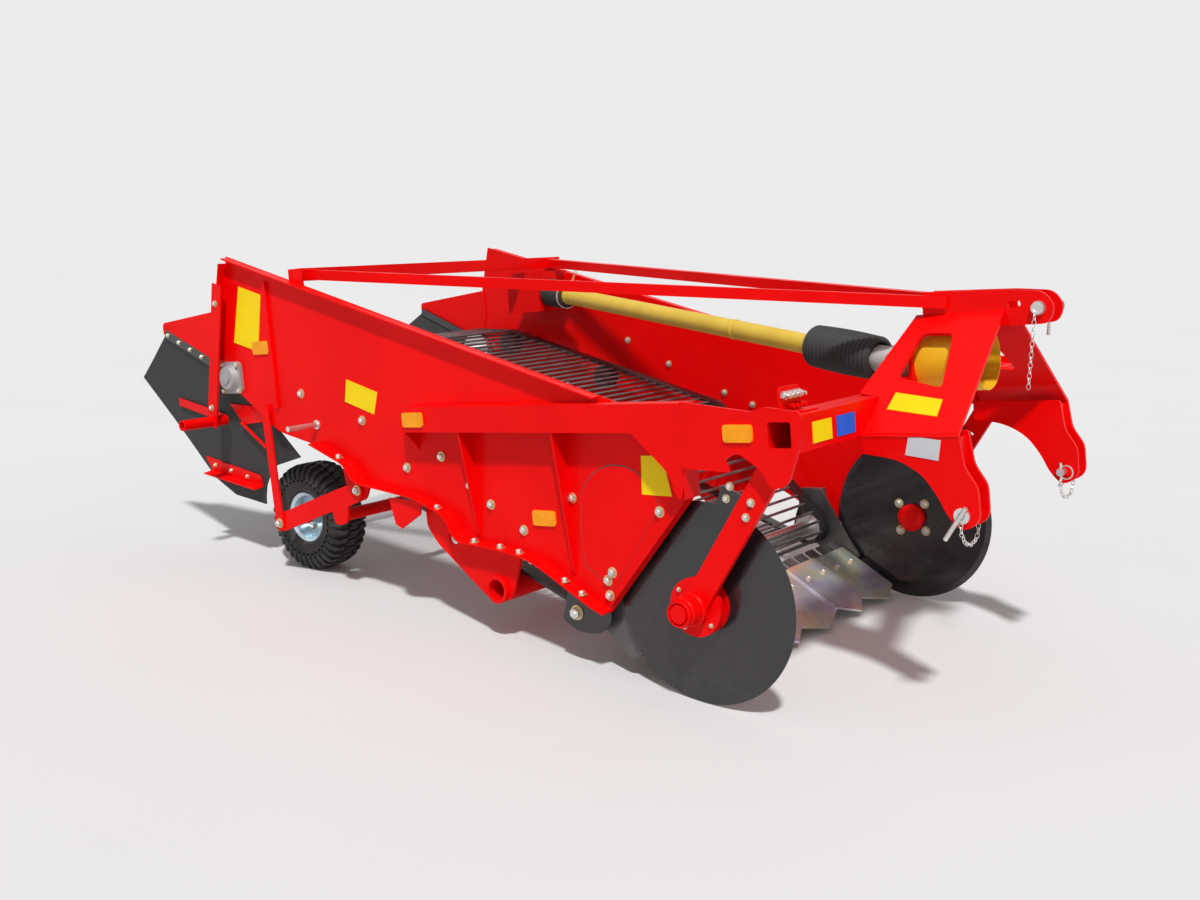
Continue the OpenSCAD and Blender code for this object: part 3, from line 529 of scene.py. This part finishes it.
class HARVESTER_OT_bolts(bpy.types.Operator):
    """Bolts with washers on the walls, hems, arms, feet and bearing"""
    bl_idname = "harvester.bolts"
    bl_label = "Bolts"

    def execute(self, context):
        size = context.scene.harvester_sizes
        wall = [(-1118, 809), (-982, 704), (-885, 637), (-735, 550), (-499, 674), (-131, 640), (-348, 423),
                (-370, 394), (-367, 342), (-1537, 946), (-1308, 764), (-1891, 1057)]
        bolt_set("wall_bolts", sides(wall, WALL_FACE), "frame", size.bolt, size.washer)
        hem = [(-1140, 616), (-962, 498), (-835, 484), (-746, 470), (-542, 382), (-470, 341), (-1670, 799)]
        places = [((x / 1000, s * HEM_MIDDLE, z / 1000), (0, 0, 1)) for x, z in hem for s in (-1, 1)]
        bolt_set("hem_bolts", places, "frame", size.bolt, size.washer)
        hub = HUB.z * 1000
        flange = [(80 * math.cos(a), hub + 80 * math.sin(a)) for a in map(math.radians, (136, -42, 237))]
        bolt_set("flange_bolts", sides(flange, FLANGE_FACE), "frame", 0.011, 0.008)
        small = sides([(-2440, 1010), (-2333, 1450)], POST_FACE)
        small += sides([(250, 692), (228, 645)], ARM_FACE)
        small += sides([(164, 737), (148, 698)], SCRAPER_FACE)
        bolt_set("arm_bolts", small, "frame", 0.017, 0.014)
        inner = [(-905, 870), (-760, 813), (-1433, 1130), (-1203, 1010), (-500, 640)]
        places = [((x / 1000, s * WALL_INSIDE, z / 1000), (0, -s, 0)) for x, z in inner for s in (-1, 1)]
        bolt_set("inner_bolts", places, "frame", 0.019, 0.016)
        bearing = [(-2332 + 55 * x, 1133 + 55 * z) for x in (-1, 1) for z in (-1, 1)]
        places = [p for p in sides(bearing, BEARING_FACE) if p[0][1] < 0]
        bolt_set("bearing_bolts", places, "frame", 0.017, 0.013)
        places = sides([(-1603, 668)], 0.812) + sides([(-2105, 515)], 0.82)
        bolt_set("wheel_arm_bolts", places, "frame", 0.026, 0.021)
        bolt_set("skid_bolts", sides([(-525, 267)], SKID_FACE), "frame", 0.036, 0.027)
        out = Vector((math.sin(SHARE_SLOPE), 0, math.cos(SHARE_SLOPE)))
        ahead = Vector((math.cos(SHARE_SLOPE), 0, -math.sin(SHARE_SLOPE)))
        blades = []
        for k in range(BLADES):
            middle = SHARE_REAR + ahead * 0.075 - out * BLADE_DROP * (k % 2)
            middle.y = (k - (BLADES - 1) / 2) * BLADE_STEP
            blades += [(middle + Vector((0, side, 0)), out) for side in (-0.06, 0.06)]
        bolt_set("share_bolts", blades, "frame", 0.016, 0.013)
        return {"FINISHED"}


class HARVESTER_OT_disc_bolts(bpy.types.Operator):
    """Bolts round the hub on each disc's inner face"""
    bl_idname = "harvester.disc_bolts"
    bl_label = "Disc bolts"

    def execute(self, context):
        inside, radius = 0.769, 0.08
        for body, s in (("right_disc", -1), ("left_disc", 1)):
            ring = [(radius * math.cos(a), HUB.z + radius * math.sin(a))
                    for a in (math.radians(45 + 90 * k) for k in range(4))]
            bolt_set(body + "_bolts", [((x, s * inside, z), (0, -s, 0)) for x, z in ring], body, 0.024, 0.02)
        return {"FINISHED"}


class HARVESTER_OT_hub_caps(bpy.types.Operator):
    """Stepped dust cap round the boss of each disc arm"""
    bl_idname = "harvester.hub_caps"
    bl_label = "Hub caps"

    def execute(self, context):
        bm = bmesh.new()
        steps = [(0.028, -0.002), (0.056, -0.002), (0.056, 0.010), (0.052, 0.014), (0.049, 0.056),
                 (0.046, 0.060), (0.045, 0.074), (0.042, 0.079), (0.038, 0.079), (0.036, 0.068),
                 (0.028, 0.068)]
        for s in (-1, 1):
            add_lathe(bm, facing((0, s * ARM_FACE, HUB.z), (0, s, 0)), steps, 48)
        add_piece("hub_caps", bm, red_paint(), "frame")
        return {"FINISHED"}


class HARVESTER_OT_tyres(bpy.types.Operator):
    """Tyres with stepped sidewalls, shoulder ribs and staggered tread blocks"""
    bl_idname = "harvester.tyres"
    bl_label = "Tyres"

    def execute(self, context):
        size = context.scene.harvester_sizes
        for body, s in (("right", -1), ("left", 1)):
            low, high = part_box(body + "_tyre")
            reach, half = (high[2] - low[2]) / 2, (high[1] - low[1]) / 2
            at = facing((WHEEL_X, s * WHEEL_Y, WHEEL_Z), (0, 1, 0))
            carcass = reach - size.lug
            bm = bmesh.new()
            side = [(0.106, 0.070), (0.118, 0.078), (0.124, 0.074), (carcass - 0.064, half - 0.003),
                    (carcass - 0.060, half), (carcass - 0.050, half), (carcass - 0.046, half - 0.004),
                    (carcass - 0.022, half - 0.008), (carcass - 0.006, half - 0.026), (carcass, half - 0.05)]
            add_lathe(bm, at, side + [(r, -z) for r, z in reversed(side)], 72)
            shoulder = [(carcass - 0.040, half), (carcass - 0.014, half - 0.004),
                        (reach - 0.006, half - 0.018), (reach, half - 0.04), (reach, 0.032)]
            block = [(reach, 0.024), (reach, -0.014)]
            half_step = math.pi / size.lugs
            for k in range(size.lugs):
                for face in (1, -1):
                    turn = 2 * math.pi * (k + 0.25 * face) / size.lugs
                    outer, inner = ([(r, z * face) for r, z in path] for path in (shoulder, block))
                    add_lug(bm, at, outer, turn, 0.009, 0.010 * face)
                    add_lug(bm, at, inner, turn + half_step, 0.008, 0.007 * face)
            piece = add_piece(body + "_treaded_tyre", bm, tyre_rubber(), body + "_wheel")
            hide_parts(body + "_tyre")
        return {"FINISHED"}


class HARVESTER_OT_wheel_nuts(bpy.types.Operator):
    """Five nuts on each wheel's dished centre"""
    bl_idname = "harvester.wheel_nuts"
    bl_label = "Wheel nuts"

    def execute(self, context):
        radius, outside, inside = 0.064, 0.6155, 0.6
        for body, s in (("right_wheel", -1), ("left_wheel", 1)):
            places = []
            for k in range(5):
                a = math.radians(90 + 72 * k)
                x, z = WHEEL_X + radius * math.cos(a), WHEEL_Z + radius * math.sin(a)
                places += [((x, s * outside, z), (0, s, 0)), ((x, s * inside, z), (0, -s, 0))]
            bolt_set(body + "_nuts", places, body, 0.019, 0.015)
        return {"FINISHED"}


class HARVESTER_OT_bellows(bpy.types.Operator):
    """Ribbed bellows, sleeve, seam rings and guard chain of the long drive shaft"""
    bl_idname = "harvester.bellows"
    bl_label = "Bellows"

    def execute(self, context):
        span = SHAFT_REAR - SHAFT_FRONT
        length = span.length
        ribs = context.scene.harvester_sizes.ribs
        bm = bmesh.new()
        at = facing(SHAFT_FRONT, span)
        near, far = 0.062, 0.392
        cuts = 6
        step = (far - 0.012 - near) / ribs
        profile = [(0.058, near), (0.068, near)]
        for k in range(ribs * cuts):
            along = k / (ribs * cuts)
            crest = 0.0775 + 0.004 * math.sin(math.pi * along)
            dip = 0.012 * (1 - abs(math.sin(math.pi * k / cuts)))
            profile.append((crest - dip, near + 0.004 + step * k / cuts))
        profile += [(0.064, far - 0.006), (0.050, far), (0.039, far)]
        add_lathe(bm, at, profile, 56)
        profile = [(0.039, length - 0.172), (0.058, length - 0.170)]
        for k in range(6):
            z0 = length - 0.165 + 0.024 * k
            profile += [(0.054, z0), (0.065, z0 + 0.006), (0.065, z0 + 0.014), (0.054, z0 + 0.021)]
        profile += [(0.052, length - 0.012), (0.039, length - 0.012)]
        add_lathe(bm, at, profile)
        piece = add_piece("ribbed_bellows", bm, black_plastic(), "frame", smooth=True)
        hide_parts("pto_bellows")
        clips = bmesh.new()
        z, r = length - 0.17, 0.0575
        add_lathe(clips, at, [(r, z), (r + 0.004, z), (r + 0.004, z + 0.012), (r, z + 0.012)])
        add_piece("bellows_clips", clips, zinc(), "frame")
        sleeve = bmesh.new()
        add_lathe(sleeve, at, [(0.03, 0.002), (0.047, 0.002), (0.049, 0.006), (0.047, 0.2), (0.03, 0.2)])
        add_piece("joint_sleeve", sleeve, grey_sleeve(), "frame")
        seam = bmesh.new()
        for z in (0.83, length - 0.2):
            add_lathe(seam, at, [(TUBE_RADIUS, z), (TUBE_RADIUS + 0.0027, z + 0.004),
                                 (TUBE_RADIUS + 0.0027, z + 0.02), (TUBE_RADIUS, z + 0.024)])
        chain = bmesh.new()
        hold = ((-1.612, 0.606, 1.408), (-1.603, 0.628, 1.436), (-1.6, 0.655, 1.475))
        add_chain(chain, [Vector(v) for v in hold], 0.014)
        add_piece("guard_chain", chain, yellow_zinc(), "frame")
        add_piece("tube_seams", seam, olive_tube(), "frame", smooth=True)
        return {"FINISHED"}


STRIP_A, STRIP_B = Vector((-2.815, 1.33)), Vector((-2.45, 1.168))
FLAP_TURN, FLAP_TILT = math.atan2(STRIP_B.y - STRIP_A.y, STRIP_B.x - STRIP_A.x), math.radians(10)


def flap_hang(tilt=FLAP_TILT):
    """The left flap's plane: X along its strip, Y down it, Z outward."""
    return (Matrix.Translation((STRIP_A.x, 0.795, STRIP_A.y)) @ Matrix.Rotation(-FLAP_TURN, 4, "Y")
            @ Matrix.Rotation(math.radians(-90) - tilt, 4, "X"))


def flap_point(x, z):
    """A side-view point in millimetres as a point on the flap's plane."""
    d = Vector((x / 1000, z / 1000)) - STRIP_A
    ca, sa = math.cos(FLAP_TURN), math.sin(FLAP_TURN)
    return Vector((d.x * ca + d.y * sa, (d.x * sa - d.y * ca) / math.cos(FLAP_TILT), 0))


class HARVESTER_OT_flaps(bpy.types.Operator):
    """Rubber flaps hung from the rear hoods, bulging a little out of flat"""
    bl_idname = "harvester.flaps"
    bl_label = "Flaps"

    def execute(self, context):
        wave = context.scene.harvester_sizes.flap_wave
        outline = ((-2815, 1330), (-3113, 1146), (-2691, 676), (-2559, 601), (-2344, 566), (-2334, 600),
                   (-2308, 650), (-2263, 700), (-2194, 744), (-2000, 785), (-2104, 898), (-2175, 1010),
                   (-2320, 1070), (-2450, 1168))
        cut = [flap_point(x, z) + Vector((0, 0, -SHEET)) for x, z in outline]
        hang = flap_hang()
        for side, name in ((1, "left_flap"), (-1, "right_flap")):
            bm = bmesh.new()
            bm.faces.new([bm.verts.new(c) for c in cut])
            for k in range(1, 15):
                for normal, at in (((1, 0, 0), (-0.28 + 0.085 * k, 0, 0)), ((0, 1, 0), (0, 0.05 * k, 0))):
                    geom = bm.verts[:] + bm.edges[:] + bm.faces[:]
                    bmesh.ops.bisect_plane(bm, geom=geom, plane_co=at, plane_no=normal)
            area = sum(f.calc_area() for f in bm.faces)
            for v in bm.verts:
                deep = min(1.0, max(0.0, v.co.y / 0.55))
                v.co.z -= wave * math.sin(math.pi * deep) + 0.35 * wave * deep * math.sin(9 * v.co.x + 1.0)
            bmesh.ops.solidify(bm, geom=bm.faces[:], thickness=SHEET)
            place = LEVEL @ Matrix.Diagonal((1, side, 1, 1)) @ hang
            bmesh.ops.transform(bm, matrix=place, verts=bm.verts[:])
            piece = add_piece(name, bm, flap_rubber(), "frame")
            if side > 0:
                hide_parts("swath_flaps")
        return {"FINISHED"}


class HARVESTER_OT_flap_bars(bpy.types.Operator):
    """Red angle bars, plates and tie rods that stiffen the flaps"""
    bl_idname = "harvester.flap_bars"
    bl_label = "Flap bars"

    def execute(self, context):
        bars, rods, strips, heads, washers = (bmesh.new() for _ in range(5))
        for side in (1, -1):
            hang = LEVEL @ Matrix.Diagonal((1, side, 1, 1)) @ flap_hang()
            for quad, proud in ((((-2725, 776), (-2320, 698), (-2320, 647), (-2700, 708)), 0.005),
                                (((-2702, 713), (-2320, 652), (-2320, 647), (-2700, 708)), 0.05),
                                (((-2827, 1046), (-2478, 972), (-2492, 934), (-2838, 1012)), 0.005),
                                (((-2416, 1020), (-2205, 1005), (-2150, 942), (-2345, 928)), 0.005)):
                add_slab(bars, hang, [flap_point(x, z) for x, z in quad], -0.001, proud)
            for x, z in ((-2660, 738), (-2540, 716), (-2420, 693)):
                p = flap_point(x, z)
                add_bolt(heads, washers, hang @ Matrix.Translation((p.x, p.y, 0.005)), 0.013, 0.011)
            edge = LEVEL @ Matrix.Diagonal((1, side, 1, 1)) @ flap_hang(0)
            near, far = 0.008, (STRIP_B - STRIP_A).length - 0.008
            corners = ((near, -0.034), (far, -0.034), (far, 0.004), (near, 0.004))
            ends = [Vector((x, y, 0)) for x, y in corners]
            add_slab(strips, edge, ends, -0.001, 0.006)
            for k in range(5):
                at = edge @ Matrix.Translation((0.03 + 0.085 * k, -0.015, 0.006))
                add_bolt(heads, washers, at, 0.013, 0.011)
            a, b = flap_point(-2355, 936), flap_point(-2214, 826)
            add_tube(rods, [Vector((a.x, a.y, 0.008)), Vector((b.x, b.y, 0.006))], 0.007, within=hang)
        add_piece("flap_bars", bars, red_paint(), "frame")
        add_piece("flap_rods", rods, red_paint(), "frame")
        add_piece("flap_edge_strips", strips, black_paint(), "frame")
        add_piece("flap_bolt_heads", heads, zinc(), "frame")
        add_piece("flap_bolt_washers", washers, yellow_zinc(), "frame")
        return {"FINISHED"}


class HARVESTER_OT_wall_fittings(bpy.types.Operator):
    """Cover plate, hanging tab and stop pin on each wall, and the back of each grease bank; a black sheet just
    larger than each cover, under it, is painted shadow in the gap round its edge
    """
    bl_idname = "harvester.wall_fittings"
    bl_label = "Wall fittings"

    def execute(self, context):
        plates, pins, painted_gap_shadow = bmesh.new(), bmesh.new(), bmesh.new()
        arc = [math.radians(a) for a in range(12, 157, 8)]
        cover = [(-300 + 170 * math.cos(a), 620 + 170 * math.sin(a)) for a in arc]
        cover += [(-470, 560), (-462, 440), (-350, 365)]
        middle = Vector((-0.3, 0.55, 0))
        # outline of the painted gap shadow: the cover's outline grown by 1.6 % about its middle
        gap_shadow_outline = [(v - middle) * 1.016 + middle for v in flat(cover)]
        back = [(-62, 0), (62, 0), (62, 72), (52, 82), (-52, 82), (-62, 72)]
        tab = [(-1395, 650), (-1215, 640), (-1228, 590), (-1335, 532), (-1368, 548)]
        for s in (-1, 1):
            turn = LEVEL @ Matrix.Diagonal((1, s, 1, 1)) @ Matrix.Rotation(math.radians(90), 4, "X")
            add_slab(plates, turn, flat(cover), -WALL_FACE - 0.0012, -WALL_FACE)
            # thin black sheet under the cover plate, showing past its edge as painted shadow in the gap
            add_slab(painted_gap_shadow, turn, gap_shadow_outline, -WALL_FACE - 0.0006, -WALL_FACE)
            add_slab(plates, turn, flat(tab), -HEM_MIDDLE - 0.006, -HEM_MIDDLE)
            add_slab(plates, facing((0.353, s * 0.767, 0.958), (1, 0, 0)), flat(back), 0, 0.006)
            stop = facing((-1.811, s * WALL_FACE, 0.93), (0, s, 0))
            add_cylinder(pins, stop, 0.011, -0.03, 0.15, 18)
            add_cylinder(pins, stop, 0.019, 0, 0.006, 18)
        add_piece("wall_plates", plates, red_paint(), "frame")
        # black paint here is painted gap shadow round the cover plates
        add_piece("wall_painted_gap_shadow", painted_gap_shadow, black_paint(), "frame")
        add_piece("wall_pins", pins, zinc(), "frame")
        return {"FINISHED"}


class HARVESTER_OT_pin_fittings(bpy.types.Operator):
    """Handles, rings and chains of the hitch pins, and the front beam's grease fittings"""
    bl_idname = "harvester.pin_fittings"
    bl_label = "Pin fittings"

    def execute(self, context):
        bm = bmesh.new()
        for s in (-1, 1):
            y = s * 0.5
            add_tube(bm, [Vector((0.785, y, 0.634)), Vector((0.713, y, 0.532))], 0.0075)
            inner = Vector((LOW_PIN_X, s * 0.372, LOW_PIN_Z))
            add_tube(bm, [inner + Vector((0, 0, -0.03)), inner + Vector((0, 0, 0.034))], 0.005)
            add_ring(bm, facing(inner + Vector((0.018, 0, 0)), (0, 1, 0)), 0.024, 0.0025)
            loop = [(0.498, 0.588), (0.494, 0.548), (0.468, 0.516), (0.427, 0.506), (0.388, 0.515),
                    (0.367, 0.54), (0.366, 0.578)]
            add_chain(bm, [Vector((LOW_PIN_X, s * y, z)) for y, z in loop])
        top = Vector((TOP_PIN_X, 0.076, TOP_PIN_Z))
        add_tube(bm, [top + Vector((0, 0, 0.03)), top + Vector((-0.018, 0, -0.095))], 0.006)
        add_ring(bm, facing(top + Vector((0.016, 0, 0)), (0, 1, 0)), 0.022, 0.0025)
        head = [(0.001, -0.002), (0.021, -0.002), (0.019, 0.003), (0.012, 0.003), (0.010, 0.0015),
                (0.001, 0.0015)]
        for place, out in (((LOW_PIN_X, -0.4905, LOW_PIN_Z), -1), ((LOW_PIN_X, 0.4905, LOW_PIN_Z), 1),
                           ((TOP_PIN_X, -0.066, TOP_PIN_Z), -1)):
            add_lathe(bm, facing(place, (0, out, 0)), head, 28)
        add_chain(bm, [Vector((0.858, -0.067, 1.183)), Vector((0.826, -0.065, 0.945))])
        for s in (-1, 1):
            for k in range(4):
                at = facing((0.359, s * (0.725 + 0.028 * k), 1.014), (1, 0, 0))
                add_cylinder(bm, at, 0.0135, -0.002, 0.014, 6)
                add_cylinder(bm, at, 0.009, 0.014, 0.024, 12)
                add_cylinder(bm, at, 0.0045, 0.024, 0.034, 10, 0.006)
        add_piece("pin_fittings", bm, zinc(), "frame")
        return {"FINISHED"}


class HARVESTER_OT_plates(bpy.types.Operator):
    """Blank plates on the wall, headstock and front beam, with no print on them"""
    bl_idname = "harvester.plates"
    bl_label = "Blank plates"

    def execute(self, context):
        yellow, grey, blue = (0.88, 0.64, 0.004), (0.55, 0.57, 0.6), (0.0, 0.12, 0.64)
        thick = 0.0026
        wall = (((-2226, 1512), (-2085, 1468), (-2141, 1237), (-2297, 1281)),
                ((-1606, 1108), (-1434, 1054), (-1464, 969), (-1626, 1021)),
                ((-189, 825), (-104, 826), (-76, 693), (-197, 696)))
        plates = []
        for k, quad in enumerate(wall):
            corners = [Vector((x / 1000, -WALL_FACE, z / 1000)) for x, z in quad]
            plates.append(("wall_plate_%d" % (k + 1), corners, (0, -1, 0), yellow))
        quad = ((603, 850), (708, 836), (697, 773), (589, 790))
        cheek = [Vector((x / 1000, -0.4815, z / 1000)) for x, z in quad]
        plates.append(("cheek_plate", cheek, (0, -1, 0), grey))
        # the leg leans inward from its foot at y 0.4755, z 0.85
        slope = Vector((0, -340, 421.5)).normalized()
        leg = []
        for x, z in ((499, 964), (668, 942), (672, 896), (493, 917)):
            y = -(0.4755 - (z / 1000 - 0.85) * 1.2397)
            leg.append(Vector((x / 1000, y, z / 1000)) + slope * 0.006)
        plates.append(("leg_plate", leg, slope, yellow))
        for name, y, colour in (("beam_plate_1", -0.735, yellow), ("beam_plate_2", -0.585, blue)):
            quad = [Vector((0.445, y + a * 0.058, 0.9 + b * 0.032))
                    for a, b in ((-1, 1), (1, 1), (1, -1), (-1, -1))]
            plates.append((name, quad, (1, 0, 0), colour))
        for name, quad, out, colour in plates:
            bm = bmesh.new()
            face = bm.faces.new([bm.verts.new(c) for c in quad])
            bmesh.ops.transform(bm, matrix=LEVEL, verts=thicken(bm, face, Vector(out) * thick))
            finish = {yellow: "yellow_plate", grey: "grey_plate", blue: "blue_plate"}[colour]
            add_piece(name, bm, label_plate(finish, colour), "frame")
        return {"FINISHED"}


class HARVESTER_OT_stage(bpy.types.Operator):
    """Floor, lights, sky and the camera at the photograph's angle"""
    bl_idname = "harvester.stage"
    bl_label = "Stage"

    def execute(self, context):
        scene = context.scene
        scene.view_settings.view_transform = "Standard"
        bm = bmesh.new()
        bmesh.ops.create_grid(bm, x_segments=1, y_segments=1, size=60)
        mesh = bpy.data.meshes.new("floor")
        bm.to_mesh(mesh)
        bm.free()
        floor = bpy.data.objects.new("floor", mesh)
        scene.collection.objects.link(floor)
        mesh.materials.append(self.pale("pale_floor"))
        world = bpy.data.worlds.new("studio_sky")
        world.use_nodes = True
        scene.world = world
        tree = world.node_tree
        sky = tree.nodes["Background"]
        sky.inputs["Color"].default_value = (1, 1, 1, 1)
        path = node(tree, "ShaderNodeLightPath")
        seen = node(tree, "ShaderNodeMath", operation="MAXIMUM")
        level = node(tree, "ShaderNodeMapRange", **{"To Min": 0.42, "To Max": 0.84})
        tree.links.new(path.outputs["Is Camera Ray"], seen.inputs[0])
        tree.links.new(path.outputs["Is Glossy Ray"], seen.inputs[1])
        tree.links.new(seen.outputs[0], level.inputs["Value"])
        tree.links.new(level.outputs["Result"], sky.inputs["Strength"])
        sun = bpy.data.lights.new("key_sun", "SUN")
        sun.energy = 3.0
        sun.angle = math.radians(4)
        key = bpy.data.objects.new("key_sun", sun)
        key.rotation_euler = Vector((0.42, -0.55, 1.0)).to_track_quat("Z", "Y").to_euler()
        scene.collection.objects.link(key)
        self.camera(scene)
        return {"FINISHED"}

    def pale(self, name):
        """A matt floor with a faint cloud of tone."""
        mat = bpy.data.materials.new(name)
        mat.use_nodes = True
        tree = mat.node_tree
        shader = tree.nodes["Principled BSDF"]
        place = node(tree, "ShaderNodeTexCoord")
        cloud = node(tree, "ShaderNodeTexNoise", Scale=0.6, Detail=3.0)
        tint = node(tree, "ShaderNodeMix", data_type="RGBA")
        tint.inputs["A"].default_value = (0.66, 0.66, 0.66, 1)
        tint.inputs["B"].default_value = (0.70, 0.70, 0.70, 1)
        tree.links.new(place.outputs["Object"], cloud.inputs["Vector"])
        tree.links.new(cloud.outputs["Fac"], tint.inputs["Factor"])
        tree.links.new(tint.outputs["Result"], shader.inputs["Base Color"])
        shader.inputs["Roughness"].default_value = 0.9
        return mat

    def camera(self, scene):
        """The camera that was fitted to the photograph."""
        az, el, roll = (math.radians(a) for a in (38.0, 11.6, 1.5))
        ahead = Vector((-math.sin(az) * math.cos(el), math.cos(az) * math.cos(el), -math.sin(el)))
        across = Vector((math.cos(az), math.sin(az), 0))
        up = across.cross(ahead)
        right = across * math.cos(roll) + up * math.sin(roll)
        top = up * math.cos(roll) - across * math.sin(roll)
        data = bpy.data.cameras.new("photo_camera")
        data.sensor_width = 36
        data.lens = 1314.4 / 1200 * 36
        data.clip_end = 200
        cam = bpy.data.objects.new("photo_camera", data)
        cam.matrix_world = Matrix((right, top, -ahead)).transposed().to_4x4()
        cam.location = (2.2329 + HUB.x, -4.2073, 1.6745)
        scene.collection.objects.link(cam)
        scene.camera = cam


class HARVESTER_PT_panel(bpy.types.Panel):
    """Lists the makers of the harvester's looks"""
    bl_label = "Harvester"
    bl_idname = "HARVESTER_PT_panel"
    bl_space_type = "VIEW_3D"
    bl_region_type = "UI"
    bl_category = "Harvester"

    def draw(self, context):
        for maker in MAKERS:
            self.layout.operator(maker.bl_idname)


MAKERS = (HARVESTER_OT_stage, HARVESTER_OT_finishes, HARVESTER_OT_bolts, HARVESTER_OT_disc_bolts,
          HARVESTER_OT_hub_caps, HARVESTER_OT_tyres, HARVESTER_OT_wheel_nuts, HARVESTER_OT_bellows,
          HARVESTER_OT_flaps, HARVESTER_OT_flap_bars, HARVESTER_OT_wall_fittings,
          HARVESTER_OT_pin_fittings, HARVESTER_OT_plates)
CLASSES = (HarvesterColours, HarvesterSizes, *MAKERS, HARVESTER_PT_panel)


def register():
    for c in CLASSES:
        bpy.utils.register_class(c)
    bpy.types.Scene.harvester_colours = PointerProperty(type=HarvesterColours)
    bpy.types.Scene.harvester_sizes = PointerProperty(type=HarvesterSizes)


def unregister():
    del bpy.types.Scene.harvester_sizes
    del bpy.types.Scene.harvester_colours
    for c in reversed(CLASSES):
        bpy.utils.unregister_class(c)


def main():
    register()
    for maker in MAKERS:
        group, name = maker.bl_idname.split(".")
        getattr(getattr(bpy.ops, group), name)()


if __name__ == "__main__":
    main()
